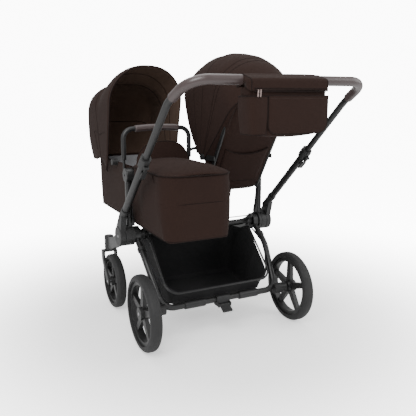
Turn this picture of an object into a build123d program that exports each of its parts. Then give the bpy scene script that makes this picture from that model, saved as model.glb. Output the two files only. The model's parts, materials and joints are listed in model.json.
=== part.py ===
from build123d import *
import math
import os

# Side-by-side convertible pushchair: a bassinet on the left, a forward-facing seat on the right.
# Millimetres. X is across, Y is the way it travels, Z is up. In this file Y is counted from the
# rear axle; write() moves every piece so that the origin is under the middle of the object.

# ---- fits and gaps ----
RUN = 0.05            # radial play of a shaft that turns or slides
SEAT_GAP = 0.3        # air between pieces that only rest on each other
SIDE_GAP = 0.5        # air between two layers of a pivot
PRESS = 0.02          # radial play of a pin that is fixed in its hole

# ---- wheels ----
REAR_R = 152.5
REAR_X = 345
REAR_W = 46
FRONT_R = 127
FRONT_X = 315
FRONT_W = 44
TYRE_DEPTH_REAR = 24.5
TYRE_DEPTH_FRONT = 22
SPOKES = 5
REAR_AXLE_R = 6
FRONT_AXLE_R = 5
WHEELBASE = 490
TRAIL = 70            # front axle behind the swivel axis

# ---- fold pivot, on both sides ----
HUB_Y = 237
HUB_Z = 410
HUB_R = 43
HUB_IN = 304          # inner face of the chassis hub
HUB_OUT = 343.5
KNUCKLE_OUT = 369
HUB_PIN_R = 8
EYE_R = 36
EYE_W = 27

# ---- crossbar ----
BAR_TUBE_R = 12
BAR_SLEEVE_R = 14
BAR_TUBE_HALF = 200
BAR_SLEEVE_START = 150
COLLAR_R = 20
COLLAR_W = 25

# ---- uprights and seat pivots ----
UPRIGHT_X = 318
UPRIGHT_W = 22
UPRIGHT_D = 30
SEAT_PIVOT_Y = 235
SEAT_PIVOT_Z = 665
HEAD_R = 30
SEAT_PIN_R = 8
SEAT_PIN_LENGTH = 9.5
POST_HALF = 14
SOCKET_R = 5
SOCKET_DEPTH = 11

# ---- handlebar ----
LEG_X = 352
LEG_ANGLE = 137       # degrees from +Y, leaning back
LEG_OFFSET = 44       # leg line above the fold pivot
UPPER_R = 12.5
LOWER_R = UPPER_R + 2.5
SOCKET_TOP = 136      # along the leg line, from the foot of the pivot's perpendicular
SOCKET_LENGTH = 78
SOCKET_WALL = 2
LOWER_TOP = 465
CLAMP_R = LOWER_R + 5
CLAMP_LENGTH = 46
UPPER_BOTTOM = 300
BEND_S = 762          # where the upper tube leaves the leg line
BAR_Y = -415
BAR_Z = 1032
BAR_HALF = 332
GRIP_WALL = 4
GRIP_LEFT_END = -160
GRIP_RIGHT_END = 140

# ---- organiser bag ----
BAG_X0 = -155
BAG_X1 = 134
BAG_BACK = -470
BAG_FRONT = -392
BAG_TOP = 1016
BAG_LIP = 1040
BAG_BOTTOM = 862
BAG_WALL = 5

# ---- rear frame ----
LEG_TUBE_R = 13
REAR_LEG_X = 290
RING_Y = 125
RING_Z = 326
LEG_CORNER_X = 264
LEG_END_X = 172
SLEEVE_R = 17
SLEEVE_END_X = 80
AXLE_TUBE_R = 12
CARRIER_R = 22

# ---- bassinet ----
COT_X0 = -304
COT_X1 = -21
COT_FOOT = -147
COT_HEAD = 762
COT_TOP = 700
COT_BOTTOM = 455
COT_TAPER = 2.2
COT_CORNER = 75
COT_WALL = 12
COT_FLOOR = 14
RECESS = 9
APRON_END = 205
APRON_RISE = 34
HANDLE_Y = 290
HANDLE_TOP = 860
HANDLE_R = 5.5

# ---- hoods: shells turned about their side pivots ----
HOOD_Y = 420
HOOD_Z = 700
HOOD_R = 418
HOOD_REAR_R = 380
CANOPY_Y = 205
CANOPY_Z = 727
CANOPY_R = 432
CANOPY_REAR_R = 416
SHELL = 4
CLIP_R = 14
CLIP_ARM = 4.5        # thickness of the canopy clip's arm
CLIP_SHARE = 0.36     # where the arm meets the seat's back tube, from its foot

# ---- seat ----
SEAT_X0 = 30
SEAT_X1 = 292
SEAT_TUBE_R = 8
BACK_FOOT = (215, 578)
BACK_TOP = (-47, 993)
PAN_FRONT = (385, 588)
PAD = 28

# ---- basket ----
BASKET_HALF = 240
BASKET_WALL = 5
BASKET_BACK = 2
RIM_R = 4
RIM_Z = 208

REARMOST = BAG_BACK
FOREMOST = HOOD_Y + HOOD_REAR_R * math.cos(math.radians(4))
ORIGIN_Y = (REARMOST + FOREMOST) / 2


def write(node, *shapes):
    """One STEP file per node, moved from the rear-axle frame to the part's own frame."""
    solids = [s for shape in shapes for s in shape.solids()]
    group = solids[0] if len(solids) == 1 else Compound(solids)
    export_step(Location((0, -ORIGIN_Y, 0)) * group, f"parts/{node}.step")


def sided(side, shape):
    """A right-hand shape, or its mirror image for the left."""
    return shape if side > 0 else mirror(shape, about=Plane.YZ)


def rod_x(x0, x1, y, z, r):
    return Pos((x0 + x1) / 2, y, z) * Rot(0, 90, 0) * Cylinder(r, abs(x1 - x0))


def rod_z(x, y, z0, z1, r):
    return Pos(x, y, (z0 + z1) / 2) * Cylinder(r, z1 - z0)


def slab_x(points, x0, x1):
    """A side-view outline (y, z) given its width across."""
    face = make_face(Polyline(*[(x0, y, z) for y, z in points], close=True))
    return extrude(face, amount=x1 - x0, dir=(1, 0, 0))


def slab_y(points, y0, y1):
    """A rear-view outline (x, z) given its depth along the travel direction."""
    face = make_face(Polyline(*[(x, y0, z) for x, z in points], close=True))
    return extrude(face, amount=y1 - y0, dir=(0, 1, 0))


def block(x0, x1, y0, y1, z0, z1):
    return Pos((x0 + x1) / 2, (y0 + y1) / 2, (z0 + z1) / 2) * Box(x1 - x0, y1 - y0, z1 - z0)


def route(points, radii):
    if len(points) == 2:
        return Line(points[0], points[1])
    return FilletPolyline(*points, radius=radii)


def pipe(points, radii, r_out, r_in=0.0):
    """A round section carried along straight runs joined by arcs."""
    path = route(points, radii)
    section = Plane(origin=path @ 0, z_dir=path % 0) * Circle(r_out)
    if r_in:
        section -= Plane(origin=path @ 0, z_dir=path % 0) * Circle(r_in)
    return sweep(section, path=path)


def biggest(shape):
    return max(shape.solids(), key=lambda s: s.volume)


# ---- the handlebar's leg line, in side view ----
LEG_DIR = (math.cos(math.radians(LEG_ANGLE)), math.sin(math.radians(LEG_ANGLE)))
LEG_FOOT = (HUB_Y + LEG_OFFSET * LEG_DIR[1], HUB_Z - LEG_OFFSET * LEG_DIR[0])


def on_leg(s, x=LEG_X, out=0.0):
    """The point at distance s up the leg line, moved out to its upper side."""
    y = LEG_FOOT[0] + s * LEG_DIR[0] + out * LEG_DIR[1]
    z = LEG_FOOT[1] + s * LEG_DIR[1] - out * LEG_DIR[0]
    return (x, y, z)


def leg_rod(s0, s1, r, x=LEG_X):
    axis = Vector(0, LEG_DIR[0], LEG_DIR[1])
    base = Plane(origin=on_leg(s0, x), z_dir=axis)
    return extrude(base * Circle(r), amount=s1 - s0)


# ================= wheels =================
def tyre(wheel_r, width, depth, x, y):
    """A ring with a rounded tread, on the wheel's axle line."""
    inner = wheel_r - depth
    section = Plane.XY * Pos(0, wheel_r - depth / 2) * Rectangle(width, depth)
    crown = [v for v in section.vertices() if v.Y > inner + 1]
    section = fillet(crown, depth * 0.68)
    return Pos(x, y, wheel_r) * revolve(section, axis=Axis.X)


def rim(wheel_r, width, depth, axle_r, x, y):
    """A ring, spokes and a hub in one moulding."""
    ring_r = wheel_r - depth - SEAT_GAP
    ring_w = width * 0.62
    hub_r = wheel_r * 0.17
    ring = Circle(ring_r) - Circle(ring_r * 0.88)
    body = extrude(Plane.YZ * ring, amount=ring_w / 2, both=True)
    body += extrude(Plane.YZ * Circle(hub_r), amount=width * 0.46, both=True)
    reach = ring_r * 0.93
    for i in range(SPOKES):
        spoke = Polyline((0, -hub_r * 0.62), (reach, -hub_r * 0.40), (reach, hub_r * 0.40), (0, hub_r * 0.62), close=True)
        turned = Plane.YZ * Rot(0, 0, 90 + i * 360 / SPOKES) * make_face(spoke)
        body += extrude(turned, amount=ring_w * 0.3, both=True)
    body -= extrude(Plane.YZ * Circle(axle_r + RUN), amount=width, both=True)
    return Pos(x, y, wheel_r) * body


def wheels():
    for side, name in ((1, "right"), (-1, "left")):
        rear_x = side * REAR_X
        front_x = side * FRONT_X
        write(f"rear_tyre_{name}", tyre(REAR_R, REAR_W, TYRE_DEPTH_REAR, rear_x, 0))
        write(f"rear_rim_{name}", rim(REAR_R, REAR_W, TYRE_DEPTH_REAR, REAR_AXLE_R, rear_x, 0))
        write(f"front_tyre_{name}", tyre(FRONT_R, FRONT_W, TYRE_DEPTH_FRONT, front_x, WHEELBASE))
        write(f"front_rim_{name}",
              rim(FRONT_R, FRONT_W, TYRE_DEPTH_FRONT, FRONT_AXLE_R, front_x, WHEELBASE))


# ================= casters =================
SWIVEL_Y = WHEELBASE + TRAIL
STEM_R = 8
CROWN_Z = 2 * FRONT_R + 1.5
CROWN_T = 6
FORK_GAP = FRONT_W / 2 + 4
FORK_T = 8
HOUSING_R = 22
HOUSING_H = 72


def casters():
    crown_top = CROWN_Z + CROWN_T
    for side, name in ((1, "right"), (-1, "left")):
        fork = block(FRONT_X - FORK_GAP - FORK_T, FRONT_X + FORK_GAP + FORK_T,
                     SWIVEL_Y - 16, SWIVEL_Y + 22, CROWN_Z, crown_top)
        leg_outline = [(SWIVEL_Y - 16, crown_top), (SWIVEL_Y + 22, crown_top), (SWIVEL_Y + 18, 214),
                       (WHEELBASE + 24, FRONT_R - 8), (WHEELBASE - 6, FRONT_R - 12),
                       (WHEELBASE - 10, FRONT_R + 10), (SWIVEL_Y - 18, 210)]
        for x in (FRONT_X - FORK_GAP - FORK_T, FRONT_X + FORK_GAP):
            fork += slab_x(leg_outline, x, x + FORK_T)
            fork += rod_x(x, x + FORK_T, WHEELBASE, FRONT_R, 15)
        fork += rod_z(FRONT_X, SWIVEL_Y, crown_top, crown_top + HOUSING_H - 18, STEM_R)
        half = FORK_GAP + FORK_T
        fork -= rod_x(FRONT_X - half - 1, FRONT_X + half + 1, WHEELBASE, FRONT_R, FRONT_AXLE_R + PRESS)
        write(f"caster_fork_{name}", sided(side, fork))
        pin = rod_x(FRONT_X - half - 2, FRONT_X + half + 2, WHEELBASE, FRONT_R, FRONT_AXLE_R)
        write(f"front_axle_{name}", sided(side, pin))


# ================= chassis =================
def hub_bore(r):
    return rod_x(HUB_IN - 60, KNUCKLE_OUT + 5, HUB_Y, HUB_Z, r)


def side_hub():
    hub = rod_x(HUB_IN, HUB_OUT, HUB_Y, HUB_Z, HUB_R)
    hub = fillet(hub.edges().filter_by(GeomType.CIRCLE), 2)
    hub -= rod_x(HUB_IN + 12.5, HUB_IN + 14.5, HUB_Y, HUB_Z, HUB_R + 5) - rod_x(
        HUB_IN + 12, HUB_IN + 15, HUB_Y, HUB_Z, HUB_R - 1.5)
    return hub - hub_bore(HUB_PIN_R + PRESS)


def front_arm():
    """A tapered casting from the hub to the caster housing."""
    top = CROWN_Z + CROWN_T + SEAT_GAP + HOUSING_H
    bottom = CROWN_Z + CROWN_T + SEAT_GAP
    outline = [(HUB_Y + 10, HUB_Z + 30), (HUB_Y + 20, HUB_Z - 36), (SWIVEL_Y - 60, bottom + 16),
               (SWIVEL_Y, bottom + 12), (SWIVEL_Y, top - 10), (SWIVEL_Y - 90, top + 12)]
    arm = slab_x(outline, FRONT_X - 12, FRONT_X + 12)
    arm = fillet(arm.edges().filter_by(Axis.X).group_by(Axis.Y)[1], 20)
    arm -= rod_x(FRONT_X - 20, FRONT_X + 30, HUB_Y, HUB_Z, HUB_R + SEAT_GAP)
    arm = biggest(arm)
    housing = rod_z(FRONT_X, SWIVEL_Y, bottom, top, HOUSING_R)
    housing = fillet(housing.edges().group_by(Axis.Z)[-1], 5)
    arm += housing
    return arm - rod_z(FRONT_X, SWIVEL_Y, bottom - 1, top - 14, STEM_R + RUN)


def upright():
    """An oval post with a flared foot, and a round head that holds the seat's side pin."""
    x0 = UPRIGHT_X - UPRIGHT_W / 2
    x1 = UPRIGHT_X + UPRIGHT_W / 2
    y0 = SEAT_PIVOT_Y - UPRIGHT_D / 2
    y1 = SEAT_PIVOT_Y + UPRIGHT_D / 2
    post = block(x0, x1, y0, y1, HUB_Z + 20, SEAT_PIVOT_Z)
    post = fillet(post.edges().filter_by(Axis.Z), 9)
    flare = [(x0 + 8, HUB_Z + 130), (x0, HUB_Z + 128), (x0 - 4, HUB_Z + 86), (x0 - 15, HUB_Z + 28),
             (x0 - 15, HUB_Z + 20), (x0 + 8, HUB_Z + 20)]
    post += slab_y(flare, y0 + 5, y1 - 5)
    post -= rod_x(x0 - 30, x1 + 20, HUB_Y, HUB_Z, HUB_R + SEAT_GAP)
    post = biggest(post)
    head = rod_x(x0, x1 + 2, SEAT_PIVOT_Y, SEAT_PIVOT_Z, HEAD_R)
    post += fillet(head.edges().group_by(Axis.X)[-1], 4)
    post -= rod_x(x0 - 1, x0 + SEAT_PIN_LENGTH + 1, SEAT_PIVOT_Y, SEAT_PIVOT_Z, SEAT_PIN_R + RUN)
    return post - rod_x(x1 + 2 - SOCKET_DEPTH, x1 + 4, SEAT_PIVOT_Y, SEAT_PIVOT_Z, SOCKET_R)


def centre_post():
    """The post in the middle of the crossbar, with one pin hole for both seats."""
    y0 = SEAT_PIVOT_Y - 13
    y1 = SEAT_PIVOT_Y + 13
    post = block(-POST_HALF, POST_HALF, y0, y1, HUB_Z, SEAT_PIVOT_Z)
    post = fillet(post.edges().filter_by(Axis.Z), 6)
    post += rod_x(-22, 22, HUB_Y, HUB_Z, BAR_TUBE_R + 7)
    post += rod_x(-POST_HALF, POST_HALF, SEAT_PIVOT_Y, SEAT_PIVOT_Z, 22)
    post -= rod_x(-30, 30, HUB_Y, HUB_Z, BAR_TUBE_R + PRESS)
    return post - rod_x(-30, 30, SEAT_PIVOT_Y, SEAT_PIVOT_Z, SEAT_PIN_R + RUN)


TIE_Y = 200
TIE_Z = 446


def tie_bracket():
    """A small ear on the crossbar collar that holds the end of the tie rod."""
    x0 = HUB_IN - EYE_W - SIDE_GAP - COLLAR_W
    ear = slab_x([(HUB_Y - 8, HUB_Z + 8), (TIE_Y - 8, TIE_Z - 8), (TIE_Y - 8, TIE_Z + 7),
                  (TIE_Y + 8, TIE_Z + 7), (HUB_Y + 8, HUB_Z + 14)], x0, x0 + 10)
    return ear - rod_x(x0 - 5, x0 + 20, HUB_Y, HUB_Z, COLLAR_R - 2)


def chassis():
    hubs = []
    posts = []
    sleeves = []
    collars = []
    pins = []
    for side, name in ((1, "right"), (-1, "left")):
        hubs.append(sided(side, side_hub()))
        posts.append(sided(side, upright()))
        write(f"front_arm_{name}", sided(side, front_arm()))
        sleeve = rod_x(BAR_SLEEVE_START, HUB_IN - PRESS, HUB_Y, HUB_Z, BAR_SLEEVE_R)
        sleeve -= rod_x(0, HUB_IN + 1, HUB_Y, HUB_Z, BAR_TUBE_R + RUN)
        sleeves.append(sided(side, sleeve))
        x1 = HUB_IN - EYE_W - SIDE_GAP
        collar = rod_x(x1 - COLLAR_W, x1, HUB_Y, HUB_Z, COLLAR_R)
        collar = fillet(collar.edges().filter_by(GeomType.CIRCLE), 2)
        collar += tie_bracket()
        collar -= rod_x(x1 - 60, x1 + 1, HUB_Y, HUB_Z, BAR_SLEEVE_R + PRESS)
        collar -= rod_x(0, x1 + 1, TIE_Y, TIE_Z, 2.5 + PRESS)
        collars.append(sided(side, collar))
        pins.append(sided(side, rod_x(HUB_IN + 2, KNUCKLE_OUT - 1, HUB_Y, HUB_Z, HUB_PIN_R)))
    write("side_hubs", *hubs)
    write("uprights", *posts)
    write("crossbar_sleeves", *sleeves)
    write("crossbar_collars", *collars)
    write("hub_pins", *pins)
    write("crossbar_tube", rod_x(-BAR_TUBE_HALF, BAR_TUBE_HALF, HUB_Y, HUB_Z, BAR_TUBE_R))
    write("centre_post", centre_post())
    half = HUB_IN - EYE_W - SIDE_GAP - COLLAR_W + 8
    write("tie_rod", rod_x(-half, half, TIE_Y, TIE_Z, 2.5))


# ================= basket =================
def basket():
    """A fabric tub: low at the rear, its sides rising to the hubs."""
    outer = [(BASKET_BACK + 4, 183), (BASKET_BACK, RIM_Z - 2), (192, 388), (212, 384), (262, 330), (366, 305), (356, 150), (200, 132)]
    tub = slab_x(outer, -BASKET_HALF, BASKET_HALF)
    inner = [(BASKET_BACK + 4 + BASKET_WALL, 190), (BASKET_BACK + BASKET_WALL, 420), (366 - BASKET_WALL, 420),
             (356 - BASKET_WALL, 156), (200, 139)]
    tub -= slab_x(inner, -BASKET_HALF + BASKET_WALL, BASKET_HALF - BASKET_WALL)
    return tub


def basket_rim():
    x = BASKET_HALF + RIM_R + SEAT_GAP
    y = BASKET_BACK - RIM_R - SEAT_GAP
    reach = Vector(0, HUB_Y - y, HUB_Z - RIM_Z)
    hook = BAR_SLEEVE_R + RIM_R + SEAT_GAP
    climb = math.atan2(reach.Z, reach.Y) + math.asin(hook / reach.length)
    run = math.sqrt(reach.length ** 2 - hook ** 2)
    top_y = y + run * math.cos(climb)
    top_z = RIM_Z + run * math.sin(climb)
    points = [(x, top_y, top_z), (x, y, RIM_Z), (-x, y, RIM_Z), (-x, top_y, top_z)]
    return pipe(points, [55, 55], RIM_R)


# ================= rear frame =================
def leg_path():
    toward = Vector(0, RING_Y - HUB_Y, RING_Z - HUB_Z).normalized()
    start = Vector(REAR_LEG_X, HUB_Y, HUB_Z) + toward * (EYE_R - 8)
    return [tuple(start), (REAR_LEG_X, RING_Y, RING_Z), (LEG_CORNER_X, 0, REAR_R), (LEG_END_X, 0, REAR_R)]


def rear_leg():
    eye = rod_x(HUB_IN - SIDE_GAP - EYE_W, HUB_IN - SIDE_GAP, HUB_Y, HUB_Z, EYE_R)
    eye = fillet(eye.edges().filter_by(GeomType.CIRCLE), 3)
    leg = eye + pipe(leg_path(), [200, 55], LEG_TUBE_R)
    leg -= rod_x(HUB_IN - 60, HUB_IN + 1, HUB_Y, HUB_Z, BAR_SLEEVE_R + RUN)
    return leg - rod_x(LEG_END_X - 1, LEG_END_X + 20, 0, REAR_R, AXLE_TUBE_R - 2)


def wheel_carrier():
    """The drum between the rear leg and the wheel, coped to the leg's bend."""
    drum = rod_x(LEG_CORNER_X - 6, REAR_X - REAR_W / 2 - 2, 0, REAR_R, CARRIER_R)
    drum = fillet(drum.edges().group_by(Axis.X)[-1], 3)
    drum -= pipe(leg_path(), [200, 55], LEG_TUBE_R + PRESS)
    drum = max(drum.solids(), key=lambda s: s.center().X)
    return drum - rod_x(LEG_CORNER_X, REAR_X, 0, REAR_R, REAR_AXLE_R + PRESS)


BRAKE_Y = -24
BRAKE_Z = 134
BRAKE_HALF = 30


def brake():
    housing = block(-BRAKE_HALF, BRAKE_HALF, -17, 14, 128, 170)
    housing = fillet(housing.edges().filter_by(Axis.X), 7)
    for x in (-BRAKE_HALF, BRAKE_HALF - 6):
        housing += slab_x([(-15, 145), (-15, 129), (BRAKE_Y - 6, BRAKE_Z - 7), (BRAKE_Y - 6, BRAKE_Z + 7)],
                          x, x + 6)
    housing -= rod_x(-40, 40, 0, REAR_R, AXLE_TUBE_R + PRESS)
    housing += rod_x(-BRAKE_HALF + 1, BRAKE_HALF - 1, BRAKE_Y, BRAKE_Z, 3)
    write("brake_housing", housing)
    inner = BRAKE_HALF - 6 - SIDE_GAP
    pedal = rod_x(-inner, inner, BRAKE_Y, BRAKE_Z, 5)
    pedal += slab_x([(BRAKE_Y - 1, BRAKE_Z + 3), (BRAKE_Y - 2, BRAKE_Z - 5), (BRAKE_Y - 30, BRAKE_Z - 22),
                     (BRAKE_Y - 34, BRAKE_Z - 15)], -inner + 2, inner - 2)
    pedal -= rod_x(-40, 40, BRAKE_Y, BRAKE_Z, 3 + RUN)
    write("brake_pedal", pedal)


def rear_frame():
    carriers = []
    sleeves = []
    rings = []
    pins = []
    along = Vector(0, RING_Y - HUB_Y, RING_Z - HUB_Z).normalized()
    for side, name in ((1, "right"), (-1, "left")):
        write(f"rear_leg_{name}", sided(side, rear_leg()))
        carriers.append(sided(side, wheel_carrier()))
        sleeve = rod_x(SLEEVE_END_X, LEG_END_X - PRESS, 0, REAR_R, SLEEVE_R)
        sleeve = fillet(sleeve.edges().filter_by(GeomType.CIRCLE), 2)
        sleeve -= rod_x(0, LEG_END_X + 1, 0, REAR_R, AXLE_TUBE_R + PRESS)
        sleeves.append(sided(side, sleeve))
        centre = Vector(REAR_LEG_X, HUB_Y, HUB_Z) + along * 78
        base = Plane(origin=centre, z_dir=along)
        ring = extrude(base * Circle(LEG_TUBE_R + 3.5), amount=16)
        ring -= extrude(base.offset(-1) * Circle(LEG_TUBE_R + PRESS), amount=18)
        rings.append(sided(side, ring))
        pins.append(sided(side, rod_x(LEG_CORNER_X + 14, KNUCKLE_OUT - 1, 0, REAR_R, REAR_AXLE_R)))
    write("wheel_carriers", *carriers)
    write("axle_sleeves", *sleeves)
    write("leg_rings", *rings)
    write("rear_axle_pins", *pins)
    write("axle_tube", rod_x(-LEG_END_X + 6, LEG_END_X - 6, 0, REAR_R, AXLE_TUBE_R))
    brake()


# ================= handlebar =================
def leg_socket():
    """The folding knuckle on the hub and the sleeve that holds the lower tube."""
    sleeve_r = LOWER_R + SOCKET_WALL
    disc = rod_x(HUB_OUT + SIDE_GAP, KNUCKLE_OUT, HUB_Y, HUB_Z, HUB_R)
    disc = fillet(disc.edges().filter_by(GeomType.CIRCLE), 3)
    neck = on_leg(SOCKET_TOP - SOCKET_LENGTH)
    neck_top = on_leg(SOCKET_TOP - SOCKET_LENGTH + 42)
    across = Vector(0, LEG_DIR[1], -LEG_DIR[0])
    side_a = [Vector(*neck_top) + across * 15, Vector(*neck_top) - across * 15]
    side_b = [(HUB_Y - 34, HUB_Z + 24), (HUB_Y + 34, HUB_Z + 24)]
    outline = [side_b[0], (side_a[1].Y, side_a[1].Z), (side_a[0].Y, side_a[0].Z), side_b[1]]
    knuckle = disc + slab_x(outline, HUB_OUT + SIDE_GAP, KNUCKLE_OUT - 2)
    knuckle += leg_rod(SOCKET_TOP - SOCKET_LENGTH, SOCKET_TOP, sleeve_r)
    knuckle += leg_rod(SOCKET_TOP - 10, SOCKET_TOP, sleeve_r + 1.5)
    knuckle -= leg_rod(SOCKET_TOP - SOCKET_LENGTH + 6, SOCKET_TOP + 1, LOWER_R + PRESS)
    return knuckle - hub_bore(HUB_PIN_R + RUN)


LEVER_S = LOWER_TOP - 12
LEVER_OUT = -(CLAMP_R + 7)


def clamp():
    """The collar on top of the lower tube; it grips the sliding upper tube."""
    s0 = LOWER_TOP - CLAMP_LENGTH + 14
    collar = leg_rod(s0, LOWER_TOP + 14, CLAMP_R)
    for out in (12, -12):
        base = Plane(origin=on_leg(s0, LEG_X, out), z_dir=Vector(0, LEG_DIR[0], LEG_DIR[1]))
        collar += extrude(base * Rectangle(18, 18, rotation=0), amount=CLAMP_LENGTH)
    for x in (LEG_X - 9, LEG_X + 5):
        y, z = on_leg(LEVER_S, x, LEVER_OUT)[1:]
        collar += rod_x(x, x + 4, y, z, 6)
        arm = [on_leg(LEVER_S - 6, x, -14), on_leg(LEVER_S + 6, x, -14),
               on_leg(LEVER_S + 5, x, LEVER_OUT), on_leg(LEVER_S - 5, x, LEVER_OUT)]
        collar += slab_x([(p[1], p[2]) for p in arm], x, x + 4)
    collar -= leg_rod(s0 - 1, LOWER_TOP + SEAT_GAP, LOWER_R + PRESS)
    collar -= leg_rod(LOWER_TOP, LOWER_TOP + 20, UPPER_R + RUN)
    y, z = on_leg(LEVER_S, LEG_X, LEVER_OUT)[1:]
    return collar - rod_x(LEG_X - 20, LEG_X + 20, y, z, 2.5 + RUN)


def clamp_lever():
    """A cam lever between the collar's ears, lying along the lower tube."""
    y, z = on_leg(LEVER_S, LEG_X, LEVER_OUT)[1:]
    x0 = LEG_X - 5 + SEAT_GAP
    x1 = LEG_X + 5 - SEAT_GAP
    lever = rod_x(x0, x1, y, z, 5.2)
    lever += rod_x(LEG_X - 9, LEG_X + 9, y, z, 2.5)
    arm = [on_leg(LEVER_S, LEG_X, LEVER_OUT + 4), on_leg(LEVER_S, LEG_X, LEVER_OUT - 4),
           on_leg(LEVER_S - 62, LEG_X, -(CLAMP_R + 8)), on_leg(LEVER_S - 62, LEG_X, -(CLAMP_R + 3))]
    lever += slab_x([(p[1], p[2]) for p in arm], x0, x1)
    pad = [on_leg(LEVER_S - 26, LEG_X, -(CLAMP_R + 9)), on_leg(LEVER_S - 26, LEG_X, -(CLAMP_R + 3.2)),
           on_leg(LEVER_S - 64, LEG_X, -(CLAMP_R + 3.2)), on_leg(LEVER_S - 64, LEG_X, -(CLAMP_R + 9))]
    return lever + slab_x([(p[1], p[2]) for p in pad], LEG_X - 10, LEG_X + 10)


def bar_points():
    right = [on_leg(UPPER_BOTTOM), on_leg(BEND_S), (BAR_HALF, BAR_Y, BAR_Z)]
    left = [(-x, y, z) for x, y, z in reversed(right)]
    return right + left


BEND_R = 120
CORNER_R = 75


def push_bar():
    return pipe(bar_points(), [BEND_R, CORNER_R, CORNER_R, BEND_R], UPPER_R, UPPER_R - 2)


def grip(side):
    """A padded leatherette sleeve round the corner of the bar."""
    bend = Vector(*on_leg(BEND_S))
    corner = Vector(BAR_HALF, BAR_Y, BAR_Z)
    start = bend + (corner - bend) * 0.22
    end_x = GRIP_RIGHT_END if side > 0 else -GRIP_LEFT_END
    points = [tuple(start), tuple(corner), (end_x, BAR_Y, BAR_Z)]
    return sided(side, pipe(points, [CORNER_R], UPPER_R + PRESS + GRIP_WALL, UPPER_R + 0.15))


def organiser_bag():
    profile = [(BAG_FRONT, BAG_TOP), (BAG_FRONT - 4, BAG_BOTTOM + 14), (BAG_FRONT - 16, BAG_BOTTOM),
               (BAG_BACK + 20, BAG_BOTTOM), (BAG_BACK + 6, BAG_BOTTOM + 16), (BAG_BACK, BAG_LIP - 60),
               (BAG_BACK + 4, BAG_LIP - 6), (BAG_BACK + 12, BAG_LIP), (BAR_Y - UPPER_R - 4, BAG_LIP - 2),
               (BAR_Y - UPPER_R - 3, BAG_TOP)]
    bag = slab_x(profile, BAG_X0, BAG_X1)
    lean = 14
    for x, out in ((BAG_X0, -1), (BAG_X1, 1)):
        wedge = slab_y([(x - out * lean, BAG_BOTTOM - 5), (x + out * 30, BAG_BOTTOM - 5),
                        (x + out * 30, BAG_TOP), (x, BAG_TOP - 30)], BAG_BACK - 5, BAG_FRONT + 5)
        bag -= wedge
    inner = [(BAG_FRONT - BAG_WALL, BAG_TOP - BAG_WALL), (BAG_FRONT - 20, BAG_BOTTOM + BAG_WALL),
             (BAG_BACK + 24, BAG_BOTTOM + BAG_WALL), (BAG_BACK + BAG_WALL, BAG_LIP - 60),
             (BAG_BACK + BAG_WALL + 5, BAG_TOP - BAG_WALL)]
    bag -= slab_x(inner, BAG_X0 + lean + BAG_WALL, BAG_X1 - lean - BAG_WALL)
    for x in (BAG_X0 + 40, BAG_X1 - 40):
        loop = rod_x(x - 15, x + 15, BAR_Y, BAR_Z, UPPER_R + 3) + block(
            x - 15, x + 15, BAR_Y - 8, BAR_Y + 8, BAG_TOP - 1, BAR_Z)
        bag += loop
        bag -= rod_x(x - 16, x + 16, BAR_Y, BAR_Z, UPPER_R + SEAT_GAP)
    return bag


def handlebar():
    sockets = []
    tubes = []
    clamps = []
    for side, name in ((1, "right"), (-1, "left")):
        sockets.append(sided(side, leg_socket()))
        tube = leg_rod(SOCKET_TOP - SOCKET_LENGTH + 6 + PRESS, LOWER_TOP, LOWER_R)
        tube -= leg_rod(SOCKET_TOP - SOCKET_LENGTH, LOWER_TOP + 1, UPPER_R + RUN)
        tubes.append(sided(side, tube))
        clamps.append(sided(side, clamp()))
        write(f"clamp_lever_{name}", sided(side, clamp_lever()))
        write(f"grip_{name}", grip(side))
    write("leg_sockets", *sockets)
    write("lower_tubes", *tubes)
    write("clamps", *clamps)
    write("push_bar", push_bar())
    write("organiser_bag", organiser_bag())


# ================= bassinet =================
COT_X = (COT_X0 + COT_X1) / 2
COT_Y = (COT_FOOT + COT_HEAD) / 2


def cot_form(inset, z0, z1):
    """A rounded rectangle whose walls lean out towards the top."""
    drop = COT_TOP - z0
    lean = drop * math.tan(math.radians(COT_TAPER))
    width = COT_X1 - COT_X0 - 2 * inset - 2 * lean
    length = COT_HEAD - COT_FOOT - 2 * inset - 2 * lean
    corner = max(COT_CORNER - inset - lean, 10)
    base = Plane.XY.offset(z0) * Pos(COT_X, COT_Y) * RectangleRounded(width, length, corner)
    return extrude(base, amount=z1 - z0, taper=-COT_TAPER)


def bassinet_body():
    cot = cot_form(0, COT_BOTTOM, COT_TOP)
    cot -= cot_form(COT_WALL, COT_BOTTOM + COT_FLOOR, COT_TOP + 5)
    y0 = SEAT_PIVOT_Y - 32
    y1 = HANDLE_Y + 16
    cot -= block(COT_X0 - 5, COT_X0 + RECESS, y0, y1, SEAT_PIVOT_Z - 32, COT_TOP + 5)
    cot -= block(COT_X1 - RECESS, COT_X1 + 5, y0, y1, SEAT_PIVOT_Z - 32, COT_TOP + 5)
    return cot


def mattress():
    z0 = COT_BOTTOM + COT_FLOOR + SEAT_GAP
    return cot_form(COT_WALL + 2, z0, z0 + 28)


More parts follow.
